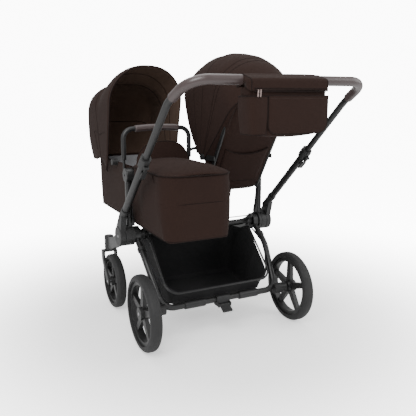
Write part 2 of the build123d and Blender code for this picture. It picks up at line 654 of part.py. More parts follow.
def apron():
    """The zipped cover over the foot end and the wind flap that stands behind it."""
    z0 = COT_TOP + SEAT_GAP
    arch = make_face(
        ThreePointArc((COT_X0 + 1, COT_FOOT, z0 + 6), (COT_X, COT_FOOT, z0 + APRON_RISE),
                      (COT_X1 - 1, COT_FOOT, z0 + 6))
        + Line((COT_X1 - 1, COT_FOOT, z0 + 6), (COT_X1 - 1, COT_FOOT, z0))
        + Line((COT_X1 - 1, COT_FOOT, z0), (COT_X0 + 1, COT_FOOT, z0))
        + Line((COT_X0 + 1, COT_FOOT, z0), (COT_X0 + 1, COT_FOOT, z0 + 6)))
    lid = extrude(arch, amount=APRON_END - COT_FOOT, dir=(0, 1, 0))
    hollow = make_face(
        ThreePointArc((COT_X0 + 14, COT_FOOT, z0), (COT_X, COT_FOOT, z0 + APRON_RISE - 9),
                      (COT_X1 - 14, COT_FOOT, z0))
        + Line((COT_X1 - 14, COT_FOOT, z0), (COT_X0 + 14, COT_FOOT, z0)))
    lid -= Pos(0, 50, 0) * extrude(hollow, amount=APRON_END - COT_FOOT, dir=(0, 1, 0))
    corners = block(COT_X0 - 5, COT_X1 + 5, COT_FOOT - 5, COT_FOOT + COT_CORNER, z0 - 5, z0 + 80)
    plan = Plane.XY.offset(z0 - 5) * Pos(COT_X, COT_Y) * RectangleRounded(
        COT_X1 - COT_X0, COT_HEAD - COT_FOOT, COT_CORNER)
    corners -= extrude(plan, amount=90)
    lid -= corners
    flap = Plane.XZ.offset(-APRON_END) * Pos(COT_X, z0) * (
        RectangleRounded(COT_X1 - COT_X0 - 62, 2 * 98, 60))
    flap = extrude(flap, amount=-8) & block(COT_X0, COT_X1, APRON_END - 2, APRON_END + 10, z0, z0 + 120)
    return lid + flap


def bassinet_bracket():
    """The plate that plugs into a seat pivot and carries the carry handle's pivot."""
    z = SEAT_PIVOT_Z
    outline = [(SEAT_PIVOT_Y - 26, z - 20), (SEAT_PIVOT_Y - 10, z - 30), (HANDLE_Y + 4, z - 16),
               (HANDLE_Y + 12, z), (HANDLE_Y + 4, z + 14), (SEAT_PIVOT_Y + 10, z + 28),
               (SEAT_PIVOT_Y - 26, z + 20)]
    return outline


HANDLE_OUT_X = -314
HANDLE_IN_X = -14.5


def bassinet():
    write("bassinet_body", bassinet_body())
    write("bassinet_mattress", mattress())
    write("bassinet_apron", apron())
    outline = bassinet_bracket()
    inner_face = UPRIGHT_X - UPRIGHT_W / 2
    outer = slab_x(outline, -inner_face + SIDE_GAP, COT_X0 + RECESS - SEAT_GAP)
    outer += rod_x(-inner_face - SEAT_PIN_LENGTH, -inner_face + 2, SEAT_PIVOT_Y, SEAT_PIVOT_Z, SEAT_PIN_R)
    outer += rod_x(HANDLE_OUT_X - HANDLE_R - 3, -inner_face + 2, HANDLE_Y, SEAT_PIVOT_Z, 4)
    inner = slab_x(outline, COT_X1 - RECESS + SEAT_GAP, COT_X1 - 0.5)
    inner += rod_x(COT_X1 - 2, -2, SEAT_PIVOT_Y, SEAT_PIVOT_Z, SEAT_PIN_R)
    inner += rod_x(COT_X1 - 2, HANDLE_IN_X + HANDLE_R + 2, HANDLE_Y, SEAT_PIVOT_Z, 4)
    write("bassinet_brackets", outer, inner)
    points = [(HANDLE_OUT_X, HANDLE_Y, SEAT_PIVOT_Z), (HANDLE_OUT_X, HANDLE_Y, HANDLE_TOP - 9),
              (HANDLE_IN_X, HANDLE_Y, HANDLE_TOP - 9), (HANDLE_IN_X, HANDLE_Y, SEAT_PIVOT_Z)]
    corner = 42
    bow = pipe(points, [corner, corner], HANDLE_R)
    boss = HANDLE_R - 1
    bow += rod_x(HANDLE_OUT_X - boss, HANDLE_OUT_X + boss, HANDLE_Y, SEAT_PIVOT_Z, 9)
    bow += rod_x(HANDLE_IN_X - boss, HANDLE_IN_X + boss, HANDLE_Y, SEAT_PIVOT_Z, 9)
    bow -= rod_x(COT_X0 - 40, 20, HANDLE_Y, SEAT_PIVOT_Z, 4 + RUN)
    write("carry_handle", bow)
    grip_path = [(COT_X - 98, HANDLE_Y, HANDLE_TOP - 9), (COT_X + 98, HANDLE_Y, HANDLE_TOP - 9)]
    write("carry_handle_grip", pipe(grip_path, [], HANDLE_R + 4, HANDLE_R + 0.15))


# ================= hoods =================
def arch_shell(x0, x1, pivot_y, pivot_z, r, start, end):
    """A thin arch turned about the side pivots from one angle to another, counted from +Y."""
    corner = 146
    half = (x1 - x0) / 2
    outer = Plane.XY * Pos(0, (r - 200) / 2) * Rectangle(2 * half, r + 200)
    outer = fillet(outer.vertices().group_by(Axis.Y)[-1], corner)
    inner = Plane.XY * Pos(0, (r - SHELL - 200) / 2) * Rectangle(2 * half - 2 * SHELL, r - SHELL + 200)
    inner = fillet(inner.vertices().group_by(Axis.Y)[-1], corner - SHELL)
    arch = outer - inner
    arch &= Plane.XY * Pos(0, CLIP_R + SEAT_GAP + r) * Rectangle(4 * half, 2 * r)
    turned = Rot(start, 0, 0) * arch
    shell = revolve(turned, axis=Axis.X, revolution_arc=end - start)
    return Pos((x0 + x1) / 2, pivot_y, pivot_z) * shell


HOOD_X0 = -328
HOOD_X1 = -4
CANOPY_X0 = 5
CANOPY_X1 = 328
NEST = 7              # how far the rear shell sits inside the front one, across


def hoods():
    write("hood_front", arch_shell(HOOD_X0, HOOD_X1, HOOD_Y, HOOD_Z, HOOD_R, 56, 98))
    write("hood_rear", arch_shell(HOOD_X0 + NEST, HOOD_X1 - NEST, HOOD_Y, HOOD_Z, HOOD_REAR_R, 4, 60))
    outer = rod_x(HOOD_X0 - 1, COT_X0 - SEAT_GAP, HOOD_Y, HOOD_Z, CLIP_R)
    inner = rod_x(COT_X1 + SEAT_GAP, HOOD_X1 + 1, HOOD_Y, HOOD_Z, CLIP_R)
    write("hood_clips", outer, inner)
    write("canopy_front", arch_shell(CANOPY_X0, CANOPY_X1, CANOPY_Y, CANOPY_Z, CANOPY_R, 60, 104))
    write("canopy_rear", arch_shell(CANOPY_X0 + NEST, CANOPY_X1 - NEST, CANOPY_Y, CANOPY_Z,
                                    CANOPY_REAR_R, 98, 128))
    tube_y, tube_z = (BACK_FOOT[k] + (BACK_TOP[k] - BACK_FOOT[k]) * CLIP_SHARE for k in (0, 1))
    arm = [(tube_y - 12, tube_z - 9), (CANOPY_Y, CANOPY_Z - CLIP_R), (CANOPY_Y, CANOPY_Z + CLIP_R),
           (tube_y - 12, tube_z + 9)]
    face = SEAT_X1 + SEAT_TUBE_R + SEAT_GAP
    outer = rod_x(face, CANOPY_X1 + 2, CANOPY_Y, CANOPY_Z, CLIP_R) + slab_x(arm, face, face + CLIP_ARM)
    face = SEAT_X0 - SEAT_TUBE_R - SEAT_GAP
    inner = rod_x(CANOPY_X0 - 1, face, CANOPY_Y, CANOPY_Z, CLIP_R) + slab_x(arm, face - CLIP_ARM, face)
    write("canopy_clips", outer, inner)


# ================= seat =================
BUMPER_Y = 300
BUMPER_Z = 612
BUMPER_R = 7


def seat_side(x):
    return [(x, *PAN_FRONT), (x, *BACK_FOOT), (x, *BACK_TOP)]


def seat_frame():
    points = seat_side(SEAT_X1) + list(reversed(seat_side(SEAT_X0)))
    return pipe(points, [60, 70, 70, 60], SEAT_TUBE_R, SEAT_TUBE_R - 1.5)


def seat_fabric():
    """The padded back and pan that hang between the frame's side tubes."""
    along = Vector(0, BACK_TOP[0] - BACK_FOOT[0], BACK_TOP[1] - BACK_FOOT[1]).normalized()
    front = Vector(0, along.Z, -along.Y)
    foot = Vector(0, *BACK_FOOT) - front * (PAD / 2)
    top = foot + along * (Vector(0, *BACK_TOP) - Vector(0, *BACK_FOOT)).length
    low = foot - along * 22
    crease = foot + front * PAD
    crease += along * ((PAN_FRONT[1] + 8 - crease.Z) / along.Z)
    outline = [(low.Y, low.Z), (top.Y, top.Z), (top.Y + front.Y * PAD, top.Z + front.Z * PAD),
               (crease.Y, crease.Z), (PAN_FRONT[0], PAN_FRONT[1] + 8),
               (PAN_FRONT[0], PAN_FRONT[1] - 20), (BACK_FOOT[0] + 26, BACK_FOOT[1] - 20)]
    pad = slab_x(outline, SEAT_X0 + SEAT_TUBE_R + 1.5, SEAT_X1 - SEAT_TUBE_R - 1.5)
    top_bar = pipe(seat_side(SEAT_X1) + list(reversed(seat_side(SEAT_X0))), [60, 70, 70, 60],
                   SEAT_TUBE_R + SEAT_GAP)
    return biggest(pad - top_bar)


def harness():
    """Two shoulder straps, two lap straps and a buckle on its crotch strap."""
    along = Vector(0, BACK_TOP[0] - BACK_FOOT[0], BACK_TOP[1] - BACK_FOOT[1]).normalized()
    front = Vector(0, along.Z, -along.Y)
    face = Vector(0, *BACK_FOOT) + front * (PAD / 2 + SEAT_GAP)
    centre = (SEAT_X0 + SEAT_X1) / 2
    straps = []
    for x in (centre - 52, centre + 52):
        a = face + along * 60
        b = face + along * 370
        strip = [(a.Y, a.Z), (b.Y, b.Z), (b.Y + front.Y * 2.5, b.Z + front.Z * 2.5),
                 (a.Y + front.Y * 2.5, a.Z + front.Z * 2.5)]
        straps.append(slab_x(strip, x - 14, x + 14))
    z0 = PAN_FRONT[1] + 8 + SEAT_GAP
    buckle = block(centre - 20, centre + 20, BUMPER_Y - 14, BUMPER_Y + 10, z0, z0 + 18)
    straps.append(fillet(buckle.edges().filter_by(Axis.Z), 6))
    return straps


def seat_plate(x0, x1):
    """The side plate from the seat's pivot down to the frame tube."""
    z = SEAT_PIVOT_Z
    return slab_x([(SEAT_PIVOT_Y - 22, z + 14), (SEAT_PIVOT_Y, z + 26), (SEAT_PIVOT_Y + 22, z + 14),
                   (SEAT_PIVOT_Y + 40, 572), (SEAT_PIVOT_Y - 12, 572)], x0, x1)


def seat():
    write("seat_frame", seat_frame())
    write("seat_fabric", seat_fabric())
    write("harness", *harness())
    inner_face = UPRIGHT_X - UPRIGHT_W / 2
    outer = seat_plate(SEAT_X1 + SEAT_TUBE_R + SEAT_GAP, inner_face - SIDE_GAP)
    outer += rod_x(inner_face - 3, inner_face + SEAT_PIN_LENGTH, SEAT_PIVOT_Y, SEAT_PIVOT_Z, SEAT_PIN_R)
    inner = seat_plate(POST_HALF + SIDE_GAP, SEAT_X0 - SEAT_TUBE_R - SEAT_GAP)
    inner += rod_x(2, POST_HALF + 3, SEAT_PIVOT_Y, SEAT_PIVOT_Z, SEAT_PIN_R)
    points = [(SEAT_X1, BUMPER_Y, BUMPER_Z), (SEAT_X1, 440, 742), (SEAT_X0, 440, 742),
              (SEAT_X0, BUMPER_Y, BUMPER_Z)]
    bar = pipe(points, [60, 60], BUMPER_R)
    for x in (SEAT_X0, SEAT_X1):
        bar += Pos(x, BUMPER_Y, BUMPER_Z) * Sphere(BUMPER_R)
    write("bumper_bar", bar)
    clips = []
    for x in (SEAT_X0, SEAT_X1):
        clip = block(x - 7, x + 7, BUMPER_Y - 12, BUMPER_Y + 12, 582, BUMPER_Z - BUMPER_R - SEAT_GAP)
        tube = pipe(seat_side(x), [60], SEAT_TUBE_R + PRESS)
        clips.append(biggest(clip - tube))
    write("seat_fittings", outer, inner, *clips)
    centre = (SEAT_X0 + SEAT_X1) / 2
    hinge = rod_x(centre - 100, centre + 100, PAN_FRONT[0] + 5 + SEAT_GAP, PAN_FRONT[1] - 12, 5)
    rest = hinge + slab_y([(centre - 116, 574), (centre + 116, 574), (centre + 84, 412), (centre - 84, 412)],
                          PAN_FRONT[0] + 4, PAN_FRONT[0] + 14)
    write("calf_rest", rest)


os.makedirs("parts", exist_ok=True)
wheels()
casters()
chassis()
write("basket", basket())
write("basket_rim", basket_rim())
rear_frame()
handlebar()
bassinet()
hoods()
seat()
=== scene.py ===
import bmesh
import bpy
import json
import math
import numpy as np
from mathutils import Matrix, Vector


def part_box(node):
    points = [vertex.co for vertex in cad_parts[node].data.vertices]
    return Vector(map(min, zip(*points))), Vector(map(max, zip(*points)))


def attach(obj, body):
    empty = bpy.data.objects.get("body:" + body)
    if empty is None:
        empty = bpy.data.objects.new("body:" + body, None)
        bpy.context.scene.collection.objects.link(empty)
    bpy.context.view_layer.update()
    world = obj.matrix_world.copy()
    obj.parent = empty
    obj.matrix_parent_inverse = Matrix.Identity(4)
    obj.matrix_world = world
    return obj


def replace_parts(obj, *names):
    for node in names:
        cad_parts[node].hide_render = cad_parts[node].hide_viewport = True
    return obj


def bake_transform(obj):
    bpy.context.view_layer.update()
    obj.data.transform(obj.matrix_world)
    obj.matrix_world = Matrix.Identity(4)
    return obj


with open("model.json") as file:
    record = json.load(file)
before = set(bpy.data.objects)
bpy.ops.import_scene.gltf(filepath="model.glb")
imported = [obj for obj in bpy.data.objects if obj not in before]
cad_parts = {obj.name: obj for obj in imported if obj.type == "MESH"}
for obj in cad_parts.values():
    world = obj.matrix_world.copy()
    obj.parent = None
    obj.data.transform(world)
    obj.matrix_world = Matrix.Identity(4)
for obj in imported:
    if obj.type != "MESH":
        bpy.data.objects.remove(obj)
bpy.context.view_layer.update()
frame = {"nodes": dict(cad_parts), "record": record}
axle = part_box("axle_tube")
AXLE_Y = (axle[0].y + axle[1].y) / 2


def row(x, y, z):
    """Millimetres from the rear axle to metres in the part's frame, as one array of points."""
    return np.stack(np.broadcast_arrays(np.asarray(x) / 1000, np.asarray(y) / 1000 + AXLE_Y,
                                        np.asarray(z) / 1000), -1)


def ease(t):
    """0 below 0, 1 above 1, and 3t^2 - 2t^3 between."""
    t = np.clip(t, 0, 1)
    return t * t * (3 - 2 * t)


def rows_of(*runs):
    """One array from runs of (first, last, count), without repeating where two runs meet."""
    return np.unique(np.concatenate([np.linspace(a, b, n) for a, b, n in runs]))


# ---------------------------------------------------------------- finishes
def add(tree, kind, **values):
    """A node whose sockets take the given values or links; the key is the socket's place or name."""
    made = tree.nodes.new(kind)
    for key in [k for k in values if hasattr(made, k) and k not in ("inputs",)]:
        setattr(made, key, values.pop(key))
    for key, value in values.pop("inputs", {}).items():
        socket = made.inputs[key]
        if isinstance(value, bpy.types.NodeSocket):
            tree.links.new(value, socket)
        else:
            socket.default_value = value
    return made


def maths(tree, operation, a, b=0.0, c=0.0):
    return add(tree, "ShaderNodeMath", operation=operation, inputs={0: a, 1: b, 2: c}).outputs[0]


def group(name, ins, outs):
    """An empty node group with its sockets, and its input and output nodes."""
    tree = bpy.data.node_groups.new(name, "ShaderNodeTree")
    for label, kind, start in ins:
        socket = tree.interface.new_socket(label, in_out="INPUT", socket_type=kind)
        if start is not None:
            socket.default_value = start
    for label, kind in outs:
        tree.interface.new_socket(label, in_out="OUTPUT", socket_type=kind)
    return tree, tree.nodes.new("NodeGroupInput").outputs, tree.nodes.new("NodeGroupOutput").inputs


def noise(tree, vector, scale, detail=2.0, rough=0.5):
    return add(tree, "ShaderNodeTexNoise", inputs={
        "Vector": vector, "Scale": scale, "Detail": detail, "Roughness": rough}).outputs["Fac"]


def woven_group():
    """A plain weave: warp and weft ridges, sin x cos y, with slubs along both threads and a soft mottle. The
    ridges also darken the colour between the threads, as painted shade.
    """
    tree, got, out = group("woven", [
        ("Vector", "NodeSocketVector", None), ("Thread", "NodeSocketFloat", 0.0011),
        ("Colour", "NodeSocketColor", (0.1, 0.1, 0.1, 1)), ("Slub", "NodeSocketFloat", 0.25),
        ("Mottle", "NodeSocketFloat", 0.12)], [
        ("Colour", "NodeSocketColor"), ("Height", "NodeSocketFloat"), ("Roughness", "NodeSocketFloat")])
    turn = maths(tree, "DIVIDE", math.tau, got["Thread"])
    place = add(tree, "ShaderNodeVectorMath", operation="SCALE",
                inputs={0: got["Vector"], "Scale": turn}).outputs[0]
    axes = add(tree, "ShaderNodeSeparateXYZ", inputs={0: place}).outputs
    over = maths(tree, "MULTIPLY", maths(tree, "SINE", axes[0]), maths(tree, "COSINE", axes[1]))
    depth = maths(tree, "SINE", axes[2])
    over = maths(tree, "ADD", over, maths(tree, "MULTIPLY", depth, 0.5))
    ridge = maths(tree, "MULTIPLY_ADD", over, 0.3, 0.5)
    warp, weft = [add(tree, "ShaderNodeMapping", inputs={"Vector": got["Vector"], "Scale": scale}).outputs[0]
                  for scale in ((900, 60, 300), (60, 900, 300))]
    slub = maths(tree, "ADD", noise(tree, warp, 1.0, 1.0), noise(tree, weft, 1.0, 1.0))
    slub = maths(tree, "MULTIPLY", maths(tree, "SUBTRACT", slub, 1.0), got["Slub"])
    mottle = maths(tree, "SUBTRACT", noise(tree, got["Vector"], 14.0, 3.0), 0.5)
    mottle = maths(tree, "MULTIPLY", mottle, got["Mottle"])
    # Brightness of the colour: the ridge term is painted shade, darker in the hollows between threads and
    # lighter on their crowns; slub and mottle are the yarn's own tone.
    light = maths(tree, "ADD", maths(tree, "MULTIPLY_ADD", ridge, 0.4, 0.8), maths(tree, "ADD", slub, mottle))
    tint = add(tree, "ShaderNodeVectorMath", operation="SCALE", inputs={0: got["Colour"], "Scale": light})
    tree.links.new(tint.outputs[0], out["Colour"])
    tree.links.new(maths(tree, "ADD", ridge, slub), out["Height"])
    tree.links.new(maths(tree, "MULTIPLY_ADD", ridge, -0.12, 0.95), out["Roughness"])
    return tree


def soft_folds_group():
    """The slow undulation of fabric under light tension: two sizes of noise, the larger one stretched."""
    tree, got, out = group("soft_folds", [
        ("Vector", "NodeSocketVector", None), ("Size", "NodeSocketFloat", 0.12)], [
        ("Height", "NodeSocketFloat")])
    per = maths(tree, "DIVIDE", 1.0, got["Size"])
    long = add(tree, "ShaderNodeMapping", inputs={"Vector": got["Vector"], "Rotation": (0.3, 0.5, 0.6),
                                                  "Scale": (1, 0.45, 1)}).outputs[0]
    broad = noise(tree, long, per, 1.0)
    fine = noise(tree, got["Vector"], maths(tree, "MULTIPLY", per, 3.7), 2.0)
    tree.links.new(maths(tree, "MULTIPLY_ADD", fine, 0.18, broad), out["Height"])
    return tree


def grain_group():
    """A moulded or grained skin: small cells, and handling marks that change the gloss over centimetres."""
    tree, got, out = group("grain", [
        ("Vector", "NodeSocketVector", None), ("Cell", "NodeSocketFloat", 0.001),
        ("Colour", "NodeSocketColor", (0.1, 0.1, 0.1, 1)), ("Gloss", "NodeSocketFloat", 0.5),
        ("Marks", "NodeSocketFloat", 0.2)], [
        ("Colour", "NodeSocketColor"), ("Height", "NodeSocketFloat"), ("Roughness", "NodeSocketFloat")])
    per = maths(tree, "DIVIDE", 1.0, got["Cell"])
    cells = add(tree, "ShaderNodeTexVoronoi", feature="SMOOTH_F1",
                inputs={"Vector": got["Vector"], "Scale": per}).outputs["Distance"]
    marks = noise(tree, got["Vector"], 28.0, 4.0, 0.6)
    streaks = add(tree, "ShaderNodeMapping", inputs={"Vector": got["Vector"], "Rotation": (0.4, 0.2, 0.7),
                                                     "Scale": (30, 30, 260)}).outputs[0]
    scratch = maths(tree, "GREATER_THAN", noise(tree, streaks, 1.0, 2.0), 0.69)
    worn = maths(tree, "MULTIPLY", maths(tree, "ADD", maths(tree, "SUBTRACT", marks, 0.5),
                                         maths(tree, "MULTIPLY", scratch, 0.25)), got["Marks"])
    tint = add(tree, "ShaderNodeVectorMath", operation="SCALE", inputs={
        0: got["Colour"], "Scale": maths(tree, "MULTIPLY_ADD", worn, 0.8, 1.0)})
    tree.links.new(tint.outputs[0], out["Colour"])
    tree.links.new(cells, out["Height"])
    tree.links.new(maths(tree, "ADD", got["Gloss"], worn), out["Roughness"])
    return tree


WOVEN = woven_group()
SOFT_FOLDS = soft_folds_group()
GRAIN = grain_group()


def material(name):
    made = bpy.data.materials.new(name)
    made.use_nodes = True
    return made, made.node_tree, made.node_tree.nodes["Principled BSDF"]


def cloth(name, colour, thread=0.0011, slub=0.25, mottle=0.14, folds=0.12, fold_depth=0.003, on_uv=True):
    """Woven cloth. Colour, height and roughness come from the weave; a second bump adds slow folds."""
    made, tree, shader = material(name)
    here = add(tree, "ShaderNodeTexCoord").outputs["Object"]
    place = add(tree, "ShaderNodeUVMap", uv_map="cloth").outputs[0] if on_uv else here
    weave = add(tree, "ShaderNodeGroup", node_tree=WOVEN, inputs={
        "Vector": place, "Thread": thread, "Colour": (*colour, 1), "Slub": slub, "Mottle": mottle}).outputs
    slow = add(tree, "ShaderNodeGroup", node_tree=SOFT_FOLDS, inputs={"Vector": here, "Size": folds}).outputs
    far = add(tree, "ShaderNodeBump", inputs={
        "Strength": 0.8, "Distance": fold_depth, "Height": slow["Height"]})
    near = add(tree, "ShaderNodeBump", inputs={"Strength": 0.5, "Distance": 0.0004, "Height": weave["Height"],
                                               "Normal": far.outputs[0]})
    tree.links.new(weave["Colour"], shader.inputs["Base Color"])
    tree.links.new(weave["Roughness"], shader.inputs["Roughness"])
    tree.links.new(near.outputs[0], shader.inputs["Normal"])
    shader.inputs["Sheen Weight"].default_value = 0.012
    shader.inputs["Sheen Roughness"].default_value = 0.45
    shader.inputs["Specular IOR Level"].default_value = 0.1
    return made


def hard(name, colour, gloss, cell=0.0008, marks=0.2, metallic=0.0, depth=0.0001, coat=0.0):
    """A hard or leathery skin: grain for its bump, handling marks for its gloss."""
    made, tree, shader = material(name)
    here = add(tree, "ShaderNodeTexCoord").outputs["Object"]
    skin = add(tree, "ShaderNodeGroup", node_tree=GRAIN, inputs={
        "Vector": here, "Cell": cell, "Colour": (*colour, 1), "Gloss": gloss, "Marks": marks}).outputs
    bump = add(tree, "ShaderNodeBump", inputs={"Strength": 0.5, "Distance": depth, "Height": skin["Height"]})
    tree.links.new(skin["Colour"], shader.inputs["Base Color"])
    tree.links.new(skin["Roughness"], shader.inputs["Roughness"])
    tree.links.new(bump.outputs[0], shader.inputs["Normal"])
    shader.inputs["Metallic"].default_value = metallic
    shader.inputs["Coat Weight"].default_value = coat
    return made


BROWN = (0.0185, 0.0098, 0.0077)
brown_cloth = cloth("brown_cloth", BROWN)
brown_pad = cloth("brown_pad", BROWN, on_uv=False)
brown_trim = cloth("brown_trim", (0.01, 0.0058, 0.0049), thread=0.0007, slub=0.1, fold_depth=0.0)
# The hood's and canopy's inside is the same brown cloth made about four times lighter: painted light for the
# light that reaches under the hood.
brown_inside_painted_light = cloth("brown_inside_painted_light", (0.076, 0.049, 0.036), slub=0.15)
black_cloth = cloth("black_cloth", (0.017, 0.017, 0.0175), thread=0.0016, slub=0.35, folds=0.07,
                    fold_depth=0.006)
grey_cloth = cloth("grey_cloth", (0.3, 0.3, 0.31), slub=0.5, mottle=0.2, on_uv=False)
grey_sheet = cloth("grey_sheet", (0.3, 0.3, 0.31), slub=0.5, mottle=0.2)
strap_cloth = cloth("strap_cloth", (0.02, 0.02, 0.021), thread=0.0014, slub=0.1, fold_depth=0.0005)
leather = hard("grip_leather", (0.045, 0.032, 0.031), 0.32, cell=0.0013, marks=0.14, depth=0.00025)
thread_brown = hard("thread_brown", (0.03, 0.019, 0.016), 0.7, cell=0.0005)
satin_black = hard("satin_black", (0.006, 0.006, 0.0062), 0.42, cell=0.0006, marks=0.16, metallic=0.1)
moulded = hard("moulded_black", (0.005, 0.005, 0.0052), 0.56, cell=0.0009, marks=0.2)
wheel_plastic = hard("wheel_plastic", (0.007, 0.007, 0.0072), 0.48, cell=0.001, marks=0.25)
rubber = hard("tyre_rubber", (0.007, 0.007, 0.0073), 0.74, cell=0.0016, marks=0.3, depth=0.0003)
steel = hard("pin_steel", (0.33, 0.33, 0.34), 0.3, cell=0.0004, metallic=0.95)
pull_metal = hard("pull_metal", (0.2, 0.15, 0.14), 0.3, cell=0.0005, metallic=0.6)

FINISH = {"frame_black": satin_black, "moulded_black": moulded, "pin_steel": steel, "tyre_rubber": rubber,
          "brown_fabric": brown_pad, "black_fabric": black_cloth, "grey_lining": grey_cloth,
          "grip_leather": leather, "webbing": strap_cloth}
SLOT_OF = {part["node"]: part["material_slot"] for part in frame["record"]["subparts"]}
for name, node in frame["nodes"].items():
    finish = FINISH[SLOT_OF[name]]
    if "rim" in name and name != "basket_rim":
        finish = wheel_plastic
    node.data.materials.clear()
    node.data.materials.append(finish)


# ---------------------------------------------------------------- mesh making
def show(name, mesh, finishes, body, smooth=True):
    made = bpy.data.objects.new(name, mesh)
    bpy.context.scene.collection.objects.link(made)
    for finish in finishes:
        mesh.materials.append(finish)
    mesh.polygons.foreach_set("use_smooth", np.full(len(mesh.polygons), smooth))
    if body:
        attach(made, body)
    return made


def skin(name, points, around=False, shut=False, inner_rows=None):
    """A mesh over a grid of points (rows, columns, 3). around joins the last column to the first, shut the
    last row to the first. The UV map is in metres along the middle row and column."""
    rows, cols = points.shape[:2]
    i, j = np.meshgrid(np.arange(rows - (not shut)), np.arange(cols - (not around)), indexing="ij")
    corner_i = np.stack([i, i, i + 1, i + 1], -1).reshape(-1, 4)
    corner_j = np.stack([j, j + 1, j + 1, j], -1).reshape(-1, 4)
    faces = (corner_i % rows) * cols + corner_j % cols
    mesh = bpy.data.meshes.new(name)
    mesh.from_pydata(points.reshape(-1, 3).tolist(), [], faces.tolist())
    step = lambda line: np.concatenate([[0], np.cumsum(np.linalg.norm(np.diff(line, axis=0), axis=1))])
    widest = np.argmax(np.linalg.norm(np.diff(points, axis=1), axis=2).sum(1))
    across = step(np.concatenate([points[widest], points[widest, :1]]))
    along = step(np.concatenate([points[:, cols // 4], points[:1, cols // 4]]))
    uv = np.stack([across[corner_j], along[corner_i]], -1).reshape(-1)
    mesh.uv_layers.new(name="cloth").data.foreach_set("uv", uv.astype(np.float32))
    if inner_rows is not None:
        inner = np.isin(i.reshape(-1), np.arange(*inner_rows)).astype(np.int32)
        mesh.polygons.foreach_set("material_index", inner)
    build = bmesh.new()
    build.from_mesh(mesh)
    bmesh.ops.remove_doubles(build, verts=build.verts, dist=1e-5)
    bmesh.ops.dissolve_degenerate(build, edges=build.edges, dist=1e-6)
    build.to_mesh(mesh)
    build.free()
    return mesh


def outward(mesh):
    build = bmesh.new()
    build.from_mesh(mesh)
    bmesh.ops.recalc_face_normals(build, faces=build.faces)
    build.to_mesh(mesh)
    build.free()
    return mesh


def thicken(obj, thickness, side=-1.0):
    wall = obj.modifiers.new("wall", "SOLIDIFY")
    wall.thickness = thickness
    wall.offset = side
    wall.use_even_offset = True
    return obj


def smoother(obj, levels=1):
    fine = obj.modifiers.new("smoother", "SUBSURF")
    fine.levels = fine.render_levels = levels
    return obj


def tube_points(path, up, radius, sides=8, flat=1.0):
    """Circles of the radius round each point of a path, square to the path and turned to face up."""
    ahead = np.gradient(path, axis=0)
    ahead /= np.linalg.norm(ahead, axis=1, keepdims=True) + 1e-12
    up = np.broadcast_to(np.asarray(up, float), path.shape)
    side = np.cross(ahead, up)
    side /= np.linalg.norm(side, axis=1, keepdims=True) + 1e-12
    up = np.cross(side, ahead)
    turn = np.linspace(0, math.tau, sides, endpoint=False)[None, :, None]
    return path[:, None] + radius * (np.cos(turn) * side[:, None] + flat * np.sin(turn) * up[:, None])


def tube(name, path, up, radius, body, finish, sides=8, loop=False, flat=1.0):
    """A round or oval cord along a path, with its two ends drawn to a point."""
    ring = tube_points(path, up, radius, sides, flat)
    if not loop:
        ring = np.concatenate([np.broadcast_to(path[:1, None], ring[:1].shape), ring,
                               np.broadcast_to(path[-1:, None], ring[-1:].shape)])
    return show(name, outward(skin(name, ring, around=True, shut=loop)), [finish], body)


def fabric(name, mesh, body):
    """A sheet of the brown cloth, its faces outward."""
    return show(name, outward(mesh), [brown_cloth], body)


def piping(name, path, up, radius, body, loop=False):
    """A sewn cord of the darker trim."""
    return tube(name, path, up, radius, body, brown_trim, loop=loop)


def smooth_path(points, count):
    """A path through the given points, rounded by averaging neighbours over a tenth of its length."""
    points = np.asarray(points, float)
    far = np.concatenate([[0], np.cumsum(np.linalg.norm(np.diff(points, axis=0), axis=1))])
    at = np.linspace(0, far[-1], count)
    path = np.stack([np.interp(at, far, points[:, k]) for k in range(points.shape[1])], -1)
    reach = max(count // 20, 1)
    padded = np.concatenate([2 * path[:1] - path[reach:0:-1], path, 2 * path[-1:] - path[-2:-2 - reach:-1]])
    kernel = np.hanning(2 * reach + 3)[1:-1]
    kernel /= kernel.sum()
    return np.stack([np.convolve(padded[:, k], kernel, "valid") for k in range(points.shape[1])], -1)


def stitches(name, path, up, body, finish, pitch=0.0042, long=0.0028, thick=0.00055):
    """A row of stitches: at equal steps along the path, an eight-faced sliver that lies along it."""
    far = np.concatenate([[0], np.cumsum(np.linalg.norm(np.diff(path, axis=0), axis=1))])
    at = np.arange(pitch / 2, far[-1], pitch)
    centre = np.stack([np.interp(at, far, path[:, k]) for k in range(3)], -1)
    up = np.broadcast_to(np.asarray(up, float), path.shape)
    lift = np.stack([np.interp(at, far, up[:, k]) for k in range(3)], -1)
    lift /= np.linalg.norm(lift, axis=1, keepdims=True)
    ahead = np.gradient(centre, axis=0)
    ahead /= np.linalg.norm(ahead, axis=1, keepdims=True) + 1e-12
    side = np.cross(ahead, lift)
    six = np.stack([centre + ahead * long / 2, centre + side * thick, centre + lift * thick,
                    centre - side * thick, centre - lift * thick, centre - ahead * long / 2], 1)
    faces = np.array([[0, 1, 2], [0, 2, 3], [0, 3, 4], [0, 4, 1], [5, 2, 1], [5, 3, 2], [5, 4, 3], [5, 1, 4]])
    mesh = bpy.data.meshes.new(name)
    every = (np.arange(len(at))[:, None, None] * 6 + faces[None]).reshape(-1, 3)
    mesh.from_pydata(six.reshape(-1, 3).tolist(), [], every.tolist())
    return show(name, outward(mesh), [finish], body)


def normals_of(points):
    """Unit normals of a grid of points, from the cross product of its two directions."""
    n = np.cross(np.gradient(points, axis=1), np.gradient(points, axis=0))
    return n / (np.linalg.norm(n, axis=2, keepdims=True) + 1e-12)


def evaluated(obj):
    """The object's own mesh becomes what its modifiers make of it."""
    shape = bpy.data.meshes.new_from_object(obj.evaluated_get(bpy.context.evaluated_depsgraph_get()))
    obj.modifiers.clear()
    obj.data = shape
    return obj


def coordinates(mesh):
    found = np.zeros(len(mesh.vertices) * 3, np.float32)
    mesh.vertices.foreach_get("co", found)
    return found.reshape(-1, 3).astype(float)


